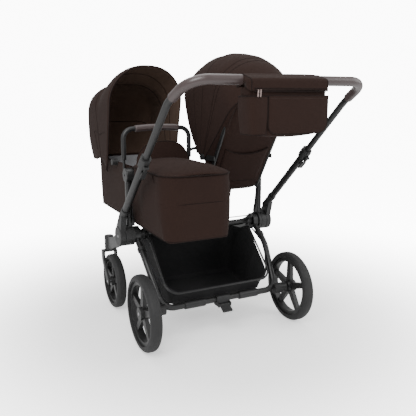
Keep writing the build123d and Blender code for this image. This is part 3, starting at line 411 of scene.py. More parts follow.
def puffed(obj, cap, pressure=4.0, voxel=0.005):
    """Blows a closed form up a little, as its filling would, and moves no point further than the cap."""
    grid = obj.modifiers.new("grid", "REMESH")
    grid.mode = "VOXEL"
    grid.voxel_size = voxel
    evaluated(obj)
    start = coordinates(obj.data)
    fill = obj.modifiers.new("fill", "CLOTH")
    fill.settings.use_pressure = True
    fill.settings.uniform_pressure_force = pressure
    fill.settings.effector_weights.gravity = 0
    fill.point_cache.frame_start = 1
    fill.point_cache.frame_end = 20
    for step in range(1, 21):
        bpy.context.scene.frame_set(step)
    evaluated(obj)
    bpy.context.scene.frame_set(1)
    moved = coordinates(obj.data) - start
    far = np.linalg.norm(moved, axis=1, keepdims=True)
    place = start + moved * np.minimum(1, cap / np.maximum(far, 1e-9))
    obj.data.vertices.foreach_set("co", place.astype(np.float32).ravel())
    obj.data.polygons.foreach_set("use_smooth", np.full(len(obj.data.polygons), True))
    return smoother(obj)


# ---------------------------------------------------------------- rounded tubs
def plan_turns(corner, side_x, side_y):
    """Round a rectangle from its +X side: each point's place along the sides, and the angle that it faces."""
    n = lambda count: np.linspace(0, 1, count, endpoint=False)
    q, sx, sy = n(corner), n(side_x), n(side_y)
    one = np.ones
    x = np.concatenate([one(side_y), one(corner), 1 - 2 * sx, -one(corner), -one(side_y), -one(corner),
                        -1 + 2 * sx, one(corner)])
    y = np.concatenate([-1 + 2 * sy, one(corner), one(side_x), one(corner), 1 - 2 * sy, -one(corner),
                        -one(side_x), -one(corner)])
    quarter = np.concatenate([0 * sy, q, 1 + 0 * sx, 1 + q, 2 + 0 * sy, 2 + q, 3 + 0 * sx, 3 + q])
    return x, y, quarter * math.pi / 2


def plan_ring(turns, half_x, half_y, corner):
    """The rounded rectangle (x (a - r) + r cos t, y (b - r) + r sin t), for half sides a, b and corners r."""
    x, y, t = turns
    corner = np.minimum(corner, np.minimum(half_x, half_y))
    return (x * (half_x - corner) + corner * np.cos(t), y * (half_y - corner) + corner * np.sin(t))


# ---------------------------------------------------------------- bassinet
COT = dict(x0=-304.0, x1=-21.0, y0=-147.0, y1=764.0, top=700.0, bottom=455.0)
SEAT_CX = 161.0
COT_CX, COT_CY = (COT["x0"] + COT["x1"]) / 2, (COT["y0"] + COT["y1"]) / 2
COT_HX, COT_HY = (COT["x1"] - COT["x0"]) / 2, (COT["y1"] - COT["y0"]) / 2
COT_FOOT_CORNER = 75
LEAN = math.tan(math.radians(2.2))
POCKET_Z = 600.0


def cot_wall(z, turns, out=0.0):
    """The bassinet's outline at a height: a rounded rectangle that leans out towards the top."""
    inset = (COT["top"] - z) * LEAN - out
    x, y = plan_ring(turns, COT_HX - inset, COT_HY - inset, np.maximum(COT_FOOT_CORNER - 3 * inset, 14))
    return COT_CX + x, COT_CY + y


def bassinet():
    """A tub. Its rows run from the middle of the base up the outside, over the hem and down the lining."""
    turns = plan_turns(14, 18, 60)
    up = rows_of((470, 596, 22), (599, 601, 3), (604, 686, 14), (688, 697, 4))
    bulge = 2.5 * np.sin(np.pi * (up - 455) / 245)
    z = np.concatenate([[457, 457, 456, 455.5, 456.5, 461], up, [699.5, 700.3, 699.5],
                        [690, 660, 600, 540, 490, 474, 469, 469, 469]])
    out = np.concatenate([[-500, -120, -40, -16, -8, -2.5], bulge, [-1.5, -6, -10.5],
                          [-11.5, -12, -12, -12, -12, -14, -24, -120, -500]])
    z, out = z[:, None], out[:, None]
    x, y = cot_wall(z, turns, out)
    foot = ease((-88 - y) / 12) * np.where((z < POCKET_Z) & (z > 458), 1, 0) * (out > -3)
    x, y = cot_wall(z, turns, out + 2.4 * foot)
    full = 6 * ease((150 - y) / 70) * np.sin(np.pi * np.clip((z - 462) / 236, 0, 1)) * (out > -4)
    x = x + np.clip((x - COT_CX) / 60, -1, 1) * full
    shrink = np.where(out <= -500, 0.0, 1.0)
    x, y = COT_CX + (x - COT_CX) * shrink, COT_CY + (y - COT_CY) * shrink
    recess = ease((y - 198) / 8) * ease((308 - y) / 8) * ease((z - 630) / 6) * (out > -4)
    x = np.where(recess > 0, np.clip(x, COT["x0"] + 9.3 * recess, COT["x1"] - 9.3 * recess), x)
    rows = len(z)
    mesh = outward(skin("bassinet", row(x, y, z), around=True, inner_rows=(rows - 9, rows)))
    made = show("bassinet_shell", mesh, [brown_cloth, grey_sheet], "chassis")
    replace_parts(made, "bassinet_body")
    keep = np.flatnonzero((turns[1] < 0) & (y[10] < -90))
    seams = (("pocket_edge", POCKET_Z, 2.6, 1.7), ("base_piping", 462, -1.0, 1.8))
    for label, height, proud, radius in seams:
        near = keep if label == "pocket_edge" else np.arange(len(turns[0]))
        px, py = cot_wall(height, turns, proud)
        if label == "pocket_edge":
            first = np.argmax(np.diff(near)) + 1 if np.any(np.diff(near) > 1) else 0
            near = np.roll(near, -first)
        line = row(px[near], py[near], height)
        piping(f"bassinet_{label}", line, (0, 0, 1), radius / 1000, "chassis", loop=label == "base_piping")
    for side, edge in ((-1, COT["x0"]), (1, COT["x1"])):
        lean_x = lambda h: edge - side * (COT["top"] - h) * LEAN + side * 2.6
        heights = np.linspace(600, 694, 24)
        line = row(lean_x(heights), -94 + (heights - 600) * 0.8, heights)
        piping(f"bassinet_slant_seam_{'left' if side < 0 else 'right'}", line, (side, 0, 0), 0.0013,
               "chassis")


def apron_height(a, y):
    """The cover's crown: highest down the middle, falling to the rim at both sides and at the foot."""
    along = np.sqrt(np.clip(1 - (1 - np.clip((y + 148) / 150, 0, 1)) ** 2, 0, 1))
    crown = 7 + 27 * (1 - np.abs(a) ** 2.3)
    return 702.5 + crown * (0.12 + 0.88 * along) * (1 - 0.1 * ease((y - 120) / 80))


def apron_half(y):
    """Half the cover's width, drawn in round the foot's two corners."""
    near = np.clip(COT_FOOT_CORNER - (y + 148), 0, COT_FOOT_CORNER)
    return COT_HX + 1 - COT_FOOT_CORNER + np.sqrt(np.clip(COT_FOOT_CORNER ** 2 - near ** 2, 0, None))


def apron():
    y = rows_of((-148, -135, 10), (-133, -77, 16), (-73, 205, 42))[:, None]
    a = np.sin(np.linspace(-np.pi / 2, np.pi / 2, 61))[None]
    x = COT_CX + a * apron_half(y)
    edge = 1 - np.abs(a) ** 14
    z = 701.5 + (apron_height(a, y) - 701.5) * (0.15 + 0.85 * edge)
    made = fabric("bassinet_apron_cover", skin("apron", row(x, y, z)), "chassis")
    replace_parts(thicken(made, 0.003), "bassinet_apron")
    line_y = np.concatenate([np.linspace(200, -73, 42), np.linspace(-77, -148, 30)])
    left = row(COT_CX - apron_half(line_y) - 0.5, line_y, 702.5)
    right = row(COT_CX + apron_half(line_y) + 0.5, line_y, 702.5)[::-1]
    foot = row(np.linspace(COT_CX - 65, COT_CX + 65, 20), -148.5, 702.5)
    outline = np.concatenate([left, foot[1:-1], right])
    cord = piping("apron_piping", outline, (0, 0, 1), 0.0024, "chassis")
    inner = outline.copy()
    inner[:, 0] = COT_CX / 1000 + (inner[:, 0] - COT_CX / 1000) * 0.955
    inner[:, 1] = np.maximum(inner[:, 1], (-148 / 1000 + AXLE_Y) + 0.009)
    inner[:, 2] += 0.0058
    sewn = stitches("apron_stitches", inner, (0, 0, 1), "chassis", thread_brown)


def wind_flap():
    """A stiffened flap that stands behind the carry handle: its top follows (1 - |a|^2.6)^(1/2.2)."""
    a = np.sin(np.linspace(-np.pi / 2, np.pi / 2, 49))[None]
    b = np.linspace(0, 1, 24)[:, None]
    rise = 96 * (1 - np.abs(a) ** 2.6) ** (1 / 2.2)
    x = COT_CX + a * (122 - 6 * b)
    y = 206 + 13 * b + 9 * a ** 2
    z = 704 + b * rise
    points = row(x, y, z)
    made = fabric("wind_flap", skin("wind_flap", points), "chassis")
    thicken(made, 0.004, 0.0)
    hem = piping("wind_flap_hem", points[-1], (0, 1, 0), 0.0028, "chassis")


def mattress():
    turns = plan_turns(10, 12, 40)
    z = np.array([473, 473, 474, 478, 485, 490, 493, 494, 494])[:, None]
    out = np.array([-500, -30, -22, -19, -18, -19, -24, -34, -500])[:, None]
    x, y = cot_wall(z, turns, out)
    shrink = np.where(out <= -500, 0.0, 1.0)
    x, y = COT_CX + (x - COT_CX) * shrink, COT_CY + (y - COT_CY) * shrink
    mesh = outward(skin("pad", row(x, y, z), around=True))
    made = show("bassinet_pad", mesh, [grey_cloth], "chassis")
    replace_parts(made, "bassinet_mattress")
    puffed(made, 0.004, voxel=0.006)


# ---------------------------------------------------------------- hoods
def arches(base, top, half, corner, centre):
    """Rows of arches from a base to a top, both (y, z): straight legs, round corners and a flat crown."""
    rise = top - base
    height = np.linalg.norm(rise, axis=1)[:, None]
    up = rise / height
    c = np.minimum(corner, 0.86 * height)
    cx = np.minimum(corner, half[:, None] - 6) + 0 * height
    leg = np.linspace(0, 1, 18)[None]
    turn = np.linspace(0, np.pi / 2, 22)[None, 1:]
    flat = np.linspace(0, 1, 6)[None, 1:]
    half = half[:, None]
    across = np.concatenate([-half + 0 * leg, -half + cx * (1 - np.cos(turn)), -(half - cx) * (1 - flat)], 1)
    high = np.concatenate([(height - c) * leg, height - c + c * np.sin(turn), height + 0 * flat], 1)
    across = np.concatenate([across, -across[:, -2::-1]], 1)
    high = np.concatenate([high, high[:, -2::-1]], 1)
    y = base[:, :1] + up[:, :1] * high
    z = base[:, 1:] + up[:, 1:] * high
    return row(centre + across, y, z)


def sampled(v, table):
    """A smooth line through a table of (v, y, z) or (v, value)."""
    table = np.asarray(table, float)
    at = np.linspace(0, 1, 201)
    lines = []
    for k in range(1, table.shape[1]):
        fine = np.interp(at, table[:, 0], table[:, k])
        ends = np.concatenate([2 * fine[0] - fine[8:0:-1], fine, 2 * fine[-1] - fine[-2:-10:-1]])
        fine = np.convolve(ends, np.hanning(19)[1:-1] / np.hanning(19)[1:-1].sum(), "valid")
        lines.append(np.interp(v, at, fine))
    return np.stack(lines, -1)


def on_arc(pivot, table):
    """A table of (v, degrees, radius) as (v, y, z) about a pivot."""
    t = np.asarray(table, float)
    turn = np.radians(t[:, 1])
    return np.stack([t[:, 0], pivot[0] + t[:, 2] * np.cos(turn), pivot[1] + t[:, 2] * np.sin(turn)], -1)


def hemmed(points, v, width, proud):
    """Points with the band next to v = 0 lifted along the normals, as a folded and sewn hem is."""
    n = normals_of(points)
    lift = proud * (1 - ease((v - width) / 0.006)) - 0.5 * proud * np.exp(-((v - width - 0.006) / 0.004) ** 2)
    return points + n * lift[:, None, None]


def hood():
    v = rows_of((0, 0.05, 12), (0.05, 0.42, 26), (0.42, 0.56, 14), (0.56, 1, 30))
    top = sampled(v, on_arc((420, 700), [
        (0, 95, 416), (0.1, 88, 416), (0.2, 80, 414), (0.3, 71, 411), (0.38, 64, 409), (0.43, 59, 411),
        (0.48, 54, 425), (0.54, 47, 456), (0.61, 39, 484), (0.68, 33, 492), (0.76, 25, 462), (0.86, 14, 432),
        (0.95, 4, 416), (1, -3, 396)]))
    base = sampled(v, [(0, 494, 648), (0.12, 508, 668), (0.3, 548, 690), (0.55, 600, 700), (0.8, 650, 692),
                       (1, 690, 684)])
    half = sampled(v, [(0, 168.5), (0.45, 168), (0.6, 168), (0.85, 165), (1, 154)])[:, 0]
    corner = sampled(v, [(0, 160), (0.42, 150), (0.6, 90), (0.8, 66), (1, 60)])
    centre = sampled(v, [(0, -161.5), (0.5, -161.5), (0.8, -163), (1, -163)])
    points = arches(base, top, half, corner, centre)
    points = hemmed(points, v, 0.035, -0.0015)
    mesh = outward(skin("hood", points))
    made = show("hood_cloth", mesh, [brown_cloth, brown_inside_painted_light], None)
    thicken(made, 0.003, 0.0)
    # The inner faces take the lighter inside copy of the brown cloth: painted light.
    made.modifiers["wall"].material_offset = 1
    extra = []
    n = normals_of(points)
    seams = ((0.0, 0.0), (0.49, 0.0012), (0.3, -0.0016), (0.5, -0.0016), (0.8, -0.0016))
    for k, (at, lift) in enumerate(seams):
        i = int(np.argmin(np.abs(v - at)))
        line = points[i] + n[i] * (lift if at else 0)
        extra.append(piping(f"hood_seam_{k}", line, n[i], 0.0024 if at == 0 else 0.0016, None))
    hem = int(np.argmin(np.abs(v - 0.04)))
    extra.append(stitches("hood_stitches", points[hem] - n[hem] * 0.0018, n[hem], None, thread_brown))
    panel = np.concatenate([points[20:52, 9], points[52, 9:2:-1]])
    extra.append(piping("hood_side_seam", panel - (0.0016, 0, 0), (1, 0, 0), 0.0012, None))
    for piece in [made, *extra]:
        crossing(piece, (384, 1114), (840, 720))
    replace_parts(made, "hood_front", "hood_rear")


def crossing(piece, start, end):
    """Bakes the piece's transform into its mesh. The start and end points are turned into the part's frame,
    and that result is not used.
    """
    tuple(row(0, *start))
    tuple(row(0, *end))
    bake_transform(piece)


def canopy():
    v = rows_of((0, 0.05, 12), (0.05, 0.95, 56), (0.95, 1, 8))
    top = sampled(v, on_arc((205, 727), [
        (0, 60, 432), (0.15, 69, 433), (0.35, 81, 434), (0.55, 95, 436), (0.7, 107, 439), (0.85, 120, 441),
        (0.94, 130, 436), (1, 138, 424)]))
    base = sampled(v, [(0, 236, 742), (0.2, 230, 730), (0.5, 220, 718), (0.8, 208, 714), (1, 194, 722)])
    half = sampled(v, [(0, 156), (0.5, 157), (1, 153)])[:, 0]
    points = arches(base, top, half, 147, 169.5)
    span = (points[..., 2] - points[:, :1, 2]) / (points[..., 2].max(1, keepdims=True) - points[:, :1, 2])
    points[..., 1] += 0.048 * (1 - v[:, None]) ** 2 * np.sin(np.pi * np.clip(span, 0, 1) ** 0.65)
    mesh = outward(skin("canopy", points))
    made = show("canopy_cloth", mesh, [brown_cloth, brown_inside_painted_light], None)
    thicken(made, 0.003, 0.0)
    # The inner faces take the lighter inside copy of the brown cloth: painted light.
    made.modifiers["wall"].material_offset = 1
    n = normals_of(points)
    extra = []
    for k, at in enumerate((0.0, 0.3, 0.52, 0.76, 0.8, 1.0)):
        i = int(np.argmin(np.abs(v - at)))
        hem = at in (0.0, 1.0)
        line = points[i] - n[i] * (0 if hem else 0.0012)
        extra.append(piping(f"canopy_seam_{k}", line, n[i], 0.0024 if hem else 0.0015, None))
    for piece in [made, *extra]:
        crossing(piece, (421, 1101), (-110, 1011))
    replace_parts(made, "canopy_front", "canopy_rear")
    canopy_back(points[-1])


def canopy_back(rim):
    """The cloth between the canopy's rear edge and the seat's back: straight lines from curve to curve,
    drawn in a little halfway. Below the canopy's foot the outer curve runs on down the seat's side."""
    wing = np.linspace(0, 1, 14)[1:, None]
    down = np.concatenate([[rim[0] + (np.array([0.004, 0, 0]))], rim[:1] + wing * (
        row(SEAT_CX - 117, 196, 604) - rim[:1])])[::-1]
    up = down[::-1] * (-1, 1, 1) + (2 * SEAT_CX / 1000, 0, 0)
    up[:, 0] += (rim[-1, 0] + rim[0, 0] - 2 * SEAT_CX / 1000) * np.linspace(1, 0, len(up))
    outer = np.concatenate([down, rim[1:-1], up])
    count = len(outer)
    t = np.linspace(-1, 1, count)
    s = np.interp(np.abs(t), [0, 0.24, 1], [0.012, 0.012, 0.72])
    place, front = seat_line(s)
    back = place - front * 9.0
    x = SEAT_CX + 119 * np.clip(t / 0.24, -1, 1)
    inner = row(x, back[:, 0], back[:, 1])
    share = np.linspace(0, 1, 14)[:, None, None]
    panel = outer[None] * (1 - share) + inner[None] * share
    panel[..., 1] -= 0.006 * np.sin(np.pi * share[..., 0])
    made = fabric("canopy_back_panel", skin("canopy_back", panel), "seat")
    thicken(made, 0.002, 0.0)
    edge = piping("canopy_back_piping", panel[0], (1, 0, 0.3), 0.0022, "seat")
    middle = piping("canopy_back_seam", panel[7], (1, 0, 0.3), 0.0014, "seat")


# ---------------------------------------------------------------- seat


def seat_line(s):
    """The seat from the side, (y, z) and its forward normal, at shares s from its top to the pan's front."""
    path = smooth_path([(-49, 996), (20, 887), (90, 776), (160, 665), (205, 594), (226, 580), (262, 576),
                        (385, 582)], 160)
    share = np.linspace(0, 1, 160)
    place = np.stack([np.interp(s, share, path[:, k]) for k in range(2)], -1)
    slope = np.gradient(path, axis=0)
    slope = np.stack([np.interp(s, share, slope[:, k]) for k in range(2)], -1)
    slope /= np.linalg.norm(slope, axis=-1, keepdims=True)
    front = np.stack([-slope[..., 1], slope[..., 0]], -1)
    return place, front


def seat_loft(name, s, half, thick, push, cols=40, square=4.0):
    """A closed loft on the seat's side line: each section is a superellipse, half wide and thick deep."""
    place, front = seat_line(s)
    turn = np.linspace(0, math.tau, cols, endpoint=False)[None]
    c, d = np.cos(turn), np.sin(turn)
    across = np.sign(c) * np.abs(c) ** (2 / square) * half[:, None]
    deep = np.sign(d) * np.abs(d) ** (2 / 2.2) * thick[:, None] / 2 + push[:, None]
    x = SEAT_CX + across
    y = place[:, :1] + front[:, :1] * deep
    z = place[:, 1:] + front[:, 1:] * deep
    points = row(x, y, z)
    ends = [np.broadcast_to(points[k].mean(0), points[k].shape)[None] for k in (0, -1)]
    return outward(skin(name, np.concatenate([ends[0], points, ends[1]]), around=True))


def seat():
    s = rows_of((0.0, 0.05, 10), (0.05, 0.62, 40), (0.62, 0.95, 16), (0.95, 1, 8))
    narrowing = lambda reach: np.minimum(1, np.sqrt(np.clip(reach / 0.05, 0, 1)) * 0.25 + 0.75)
    end = narrowing(s) * narrowing(1 - s)
    half = 121 * end
    thick = 14 * np.sqrt(np.clip(s / 0.02, 0.05, 1)) * np.sqrt(np.clip((1 - s) / 0.02, 0.05, 1))
    shell = show("seat_shell", seat_loft("seat_shell", s, half, thick, 0 * s - 6, cols=64, square=7.0),
                 [brown_pad], "seat")
    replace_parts(smoother(shell), "seat_fabric")
    s = np.linspace(0.03, 0.985, 54)
    end = np.sqrt(np.clip(s / 0.08, 0.15, 1)) * np.sqrt(np.clip((1.015 - s) / 0.08, 0.15, 1))
    pad = show("seat_pad", seat_loft("seat_pad", s, 108 * (0.8 + 0.2 * end), 13 * end, 0 * s + 7, square=5.0),
               [brown_pad], "seat")
    puffed(pad, 0.006)
    x = np.linspace(-104, 104, 31)[None]
    pocket_s = np.linspace(0.40, 0.665, 26)
    place, front = seat_line(pocket_s)
    dip = 26 * (x / 104) ** 2
    deep = -14.5 - 7 * (1 - (x / 104) ** 4) * np.sin(np.pi * np.linspace(0.28, 1, 26))[:, None] ** 0.7
    start = np.linspace(0, 1, 26)[:, None]
    lift = (1 - start) * (-22 + dip)
    along = np.stack([front[:, 1], -front[:, 0]], -1)
    y = place[:, :1] + front[:, :1] * deep - along[:, :1] * lift
    z = place[:, 1:] + front[:, 1:] * deep - along[:, 1:] * lift
    points = row(SEAT_CX + x * (1 - 0.03 * start), y, z)
    pocket = fabric("seat_pocket", skin("seat_pocket", points), "seat")
    thicken(pocket, 0.0025, 0.0)
    hem = piping("seat_pocket_hem", points[0], (0, 1, 0.4), 0.0024, "seat")
    harness()


def ribbon(name, path, normal, width, body, finish, thickness=0.0016):
    """Webbing: a strip of the width that lies along a path and faces the normal."""
    ahead = np.gradient(path, axis=0)
    side = np.cross(ahead, normal)
    side /= np.linalg.norm(side, axis=1, keepdims=True)
    share = np.linspace(-0.5, 0.5, 5)[None, :, None]
    mesh = outward(skin(name, path[:, None] + side[:, None] * share * width))
    return thicken(show(name, mesh, [finish], body), thickness, 0.0)


def harness():
    first = None
    for side, word in ((-1, "left"), (1, "right")):
        place, front = seat_line(np.linspace(0.2, 0.66, 40))
        lift = 24 + 5 * np.sin(np.linspace(0, np.pi, 40))[:, None]
        at = place + front * lift
        x = SEAT_CX + side * np.linspace(50, 26, 40)
        strap = ribbon(f"shoulder_strap_{word}", row(x, at[:, 0], at[:, 1]), np.insert(front, 0, 0, axis=1),
                       0.026, "seat", strap_cloth)
        first = first or strap
        t = np.linspace(0, 1, 24)
        path = row(SEAT_CX + side * (100 - 82 * t), 250 + 46 * t, 606 + 8 * np.sin(np.pi * t))
        lap = ribbon(f"lap_strap_{word}", path, np.broadcast_to(np.array([0, 0.3, 1.0]), (24, 3)), 0.024,
                     "seat", strap_cloth)
    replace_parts(first, "harness")
    turns = plan_turns(8, 6, 6)
    z = np.array([602, 602, 603.5, 606, 612, 616, 618.5, 619, 619])[:, None]
    a = np.array([0, 19, 21.5, 22.5, 23, 22, 20, 17, 0])[:, None]
    x, y = plan_ring(turns, np.maximum(a, 0.01), np.maximum(a * 0.62, 0.01), np.maximum(a * 0.35, 0.005))
    mesh = outward(skin("buckle", row(SEAT_CX + x, 298 + y, z), around=True))
    smoother(show("harness_buckle", mesh, [moulded], "seat"))


def calf_rest():
    """A thin pad that hangs from the front of the pan and narrows downwards."""
    z = np.array([573, 572, 568, 560, 520, 480, 440, 420, 414, 412, 412])[:, None]
    thick = np.array([0.01, 5, 8, 9, 9, 9, 9, 8, 6, 4, 0.01])[:, None]
    half = 84 + (z - 412) / 162 * 32 - np.array([0.01, 6, 2, 0, 0, 0, 0, 2, 6, 12, 90])[:, None]
    turn = np.linspace(0, math.tau, 48, endpoint=False)[None]
    c, d = np.cos(turn), np.sin(turn)
    x = SEAT_CX + np.sign(c) * np.abs(c) ** 0.35 * np.maximum(half, 0.01)
    y = 394.5 + np.sign(d) * np.abs(d) ** 0.8 * thick / 2
    mesh = outward(skin("calf", row(x, y, z), around=True))
    made = show("calf_pad", mesh, [brown_pad], "footrest")
    puffed(made, 0.004, voxel=0.004)
    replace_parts(made, "calf_rest")


# ---------------------------------------------------------------- organiser bag
BAG_CX, BAG_CY = -13.0, -431.0


def bag():
    """A lofted shell: rounded rectangles (height, half width, half depth) that narrow to a sagging base."""
    turns = plan_turns(10, 40, 10)
    sections = np.array([
        (1012, 0, 0), (1013, 50, 12), (1013.5, 100, 26), (1013, 136, 33), (1011, 142, 35.5),
        (1005, 143.5, 37.5), (992, 143.5, 38), (975, 142.8, 38.4), (950, 142, 38.6), (925, 140, 38.2),
        (900, 137, 37), (885, 134, 35.5), (876, 130, 33.5), (870, 125, 30.5), (866.5, 119, 26.5),
        (865, 110, 20), (864, 60, 10), (864, 0, 0)])
    z, a, b = sections.T[:, :, None]
    corner = np.minimum(20.0, np.maximum(b * 0.8, 0.005))
    x, y = plan_ring(turns, np.maximum(a, 0.01), np.maximum(b, 0.01), corner)
    sag = 14 * ease((905 - z) / 45) * (1 - (x / 150) ** 2)
    mesh = outward(skin("bag", row(BAG_CX + x, BAG_CY + y, z - sag + 5 * ease((905 - z) / 45)), around=True))
    made = smoother(show("organiser_shell", mesh, [brown_cloth], "handlebar_upper"))
    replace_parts(made, "organiser_bag")
    over = np.linspace(-0.5, np.pi / 2, 12)[1:]
    lid_y = np.concatenate([np.full(6, -471.5), -471.5 + 10 * (1 - np.cos(np.linspace(0, np.pi / 2, 8)[1:])),
                            np.linspace(-461, -430, 8)[1:], -415 + 30 * np.sin(over),
                            np.full(4, -384.5)])
    lid_z = np.concatenate([np.linspace(1000, 1026, 6), 1026 + 12 * np.sin(np.linspace(0, np.pi / 2, 8)[1:]),
                            np.linspace(1039, 1047, 8)[1:], 1031 + 20 * np.cos(over),
                            np.linspace(1028, 1012, 4)])
    x = np.linspace(-157, 126, 46)[None]
    end = np.abs((x + 15.5) / 141.5) ** 8
    points = row(x, lid_y[:, None] + 0 * x, lid_z[:, None] - 3.0 * end + 0.8 * np.sin(x / 55))
    heart = row(0, -428, 1016)
    caps = []
    for k, way in ((0, -1), (-1, 1)):
        for shrink, further in ((0.9, 0.003), (0.6, 0.0045), (0.25, 0.005)):
            ring = heart + (points[:, k] - heart) * shrink
            ring[:, 0] = points[:, k, 0] + way * further
            caps.append(ring[:, None])
    points = np.concatenate([caps[2], caps[1], caps[0], points, *caps[3:]], 1)
    lid = fabric("organiser_lid", skin("lid", points), "handlebar_upper")
    thicken(lid, 0.0022, 0.0)
    zip_line = row(np.linspace(-148, 119, 60), -472.6, 1001)
    for label, drop in (("upper", 4.5), ("lower", -4.5)):
        piping(f"organiser_zip_{label}", zip_line + (0, 0, drop / 1000), (0, 0, 1), 0.0016,
                             "handlebar_upper")
    stitches("organiser_zip_teeth", zip_line, (0, 1, 0), "handlebar_upper", moulded,
                           pitch=0.003, long=0.0018, thick=0.0012)
    for k in (3, -4):
        piping(f"organiser_lid_edge_{'left' if k == 3 else 'right'}", points[:, k], (1, 0, 0),
                           0.0021, "handlebar_upper")
    panel("organiser_front_pocket", -96, 129, 868, 984, 6.0, 30)
    corner_pocket()
    for k, x0 in enumerate((-136, -127)):
        pull(f"zip_pull_{k}", x0)
    for word, x0 in (("left", -160), ("right", 128)):
        turn = np.linspace(-0.5 * np.pi, 1.5 * np.pi, 40)
        line = row(x0 + 8, -415 + 15.2 * np.cos(turn), 1032 + 15.2 * np.sin(turn))
        normal = np.stack([0 * turn, np.cos(turn), np.sin(turn)], -1)
        strap = ribbon(f"organiser_strap_{word}", line, normal, 0.024, "handlebar_upper", brown_cloth)


def panel(name, x0, x1, z0, z1, belly, corner):
    """A patch pocket on the bag's face: it bellies out by 1 - a^6, and its lower corners are round."""
    a = np.linspace(-1, 1, 41)[None]
    b = np.linspace(-1, 1, 29)[:, None]
    cx, cz, hx, hz = (x0 + x1) / 2, (z0 + z1) / 2, (x1 - x0) / 2, (z1 - z0) / 2
    low = np.clip(1 - (b + 1) * hz / corner, 0, 1)
    pull_in = corner * (1 - np.sqrt(1 - low ** 2))
    x = cx + a * (hx - pull_in)
    z = cz + b * hz - 2 * (1 - a ** 2) * (b < 0) * np.abs(b)
    face = -469.8 + 2.2 * ease((900 - z) / 30)
    hem_roll = 1.2 * np.exp(-((b - 1) / 0.07) ** 2)
    y = face - 2 - belly * (1 - a ** 6) * (1 - np.abs(b) ** 3 * (b < 0)) * 0.6 - hem_roll
    points = row(x, y, z)
    made = fabric(name, skin(name, points), "handlebar_upper")
    thicken(made, 0.002, 0.0)
    border = np.concatenate([points[::-1, 0], points[0, 1:-1], points[:, -1]])
    edge = piping(f"{name}_piping", border, (0, 1, 0), 0.0019, "handlebar_upper")
    hem = piping(f"{name}_hem", points[-1], (0, 0, 1), 0.0016, "handlebar_upper")
    sewn = stitches(f"{name}_stitches", points[-3] - (0, 0.0012, 0), (0, 1, 0), "handlebar_upper",
                    thread_brown)


def corner_pocket():
    """A pocket round the bag's left end: its plan follows the bag's corner a little outside it."""
    plan = smooth_path([(-101, -472), (-125, -475), (-146, -474), (-157, -468), (-160.5, -452), (-161, -430),
                        (-159, -398)], 48)
    b = np.linspace(0, 1, 26)[:, None]
    x = plan[None, :, 0] + 12 * (1 - b) ** 1.6 * ease((-100 - plan[None, :, 0]) / 50)
    y = plan[None, :, 1] + 6 * (1 - b) ** 2
    belly = 2.5 * np.sin(np.pi * b)
    x = x - belly * ease((-120 - plan[None, :, 0]) / 30)
    y = y - belly * (1 - ease((-140 - plan[None, :, 0]) / 15))
    z = 866 + 116 * b + 0 * x
    points = row(x, y, z)
    made = fabric("organiser_corner_pocket", skin("corner_pocket", points), "handlebar_upper")
    thicken(made, 0.002, 0.0)
    hem = piping("corner_pocket_hem", points[-1], (0, 0, 1), 0.0022, "handlebar_upper")
    border = np.concatenate([points[::-1, 0], points[0, 1:]])
    low = piping("corner_pocket_piping", border, (-0.4, -1, 0.2), 0.0019, "handlebar_upper")


def pull(name, x0):
    """A zip pull: a flat rounded tag that hangs a little aslant."""
    t = np.linspace(0, 1, 16)
    path = row(x0 - 3 * t, -477 - 2 * t, 1002 - 22 * t)
    tube(name, path, (0, 1, 0), 0.0026, "handlebar_upper", pull_metal, sides=10, flat=0.55)


# ---------------------------------------------------------------- basket
def basket():
    """A tub of two-way fabric: a rounded plan whose top edge rises from the rear rim to the hubs and falls
    towards the front, with its base drawn in and sagging between the corners."""
    turns = plan_turns(12, 30, 44)
    down = rows_of((0, 0.06, 4), (0.06, 0.9, 22), (0.9, 1, 6))[:, None]
    x, y = plan_ring(turns, 238.0, 181.0, 55.0)
    y = y + 184
    rim = np.interp(y, [2, 30, 110, 185, 212, 262, 330, 366], [207, 232, 312, 392, 392, 372, 366, 360])
    x = x + np.sign(x) * 40 * np.exp(-((y - 120) / 62) ** 2) * (np.abs(x) > 180)
    base = np.interp(y, [2, 60, 200, 340, 366], [166, 142, 133, 148, 156])
    inset = 26 * down ** 1.5 + 5 * np.sin(np.pi * down)
    bx, by = plan_ring(turns, 238.0 - inset, 181.0 - inset, np.maximum(55 - inset * 0.5, 24))
    z = rim * (1 - down) + base * down
    fold = 5 * np.exp(-((by + 66 - 40 * down) / 12) ** 2) * np.abs(turns[0]) * np.sin(np.pi * down)
    bx = bx - np.sign(bx) * fold
    shell = row(bx, by + 184, z)
    share = np.array([0.97, 0.93, 0.85, 0.6, 0.3, 0.0])[:, None]
    fx, fy = bx[-1] * share, by[-1] * share
    fz = np.interp(fy + 184, [2, 60, 200, 340, 366], [164, 141, 132, 146, 154]) - 2.5 * (1 - share)
    fz = fz + (z[-1] - fz) * np.clip((share - 0.93) / 0.07, 0, 1)
    points = np.concatenate([shell, row(fx, fy + 184, fz)])
    mesh = outward(skin("basket", points, around=True))
    made = show("basket_cloth", mesh, [black_cloth], "chassis")
    thicken(made, 0.0025, 0.0)
    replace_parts(made, "basket")
    edge, seam = [tube(name, path, (0, 0, 1), radius, "chassis", strap_cloth, loop=True)
                  for name, path, radius in (("basket_binding", row(x, y, rim), 0.004),
                                             ("basket_floor_seam", shell[-1], 0.002))]


# ---------------------------------------------------------------- grips and small trim
def grip_seams():
    """A sewn seam along the inside of each leather grip."""
    for name, body in (("grip_left", "handlebar_upper"), ("grip_right", "handlebar_upper")):
        lo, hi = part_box(name)
        side = -1 if name.endswith("left") else 1
        x_in, x_out = (hi.x, lo.x) if side < 0 else (lo.x, hi.x)
        line = np.stack([np.linspace(x_in, x_out - side * 0.1, 60), np.full(60, -0.415 + AXLE_Y + 0.0168),
                         np.full(60, 1.032)], -1)
        stitches(f"{name}_seam", line, (0, 1, 0), body, thread_brown, pitch=0.005, long=0.0034, thick=0.0007)


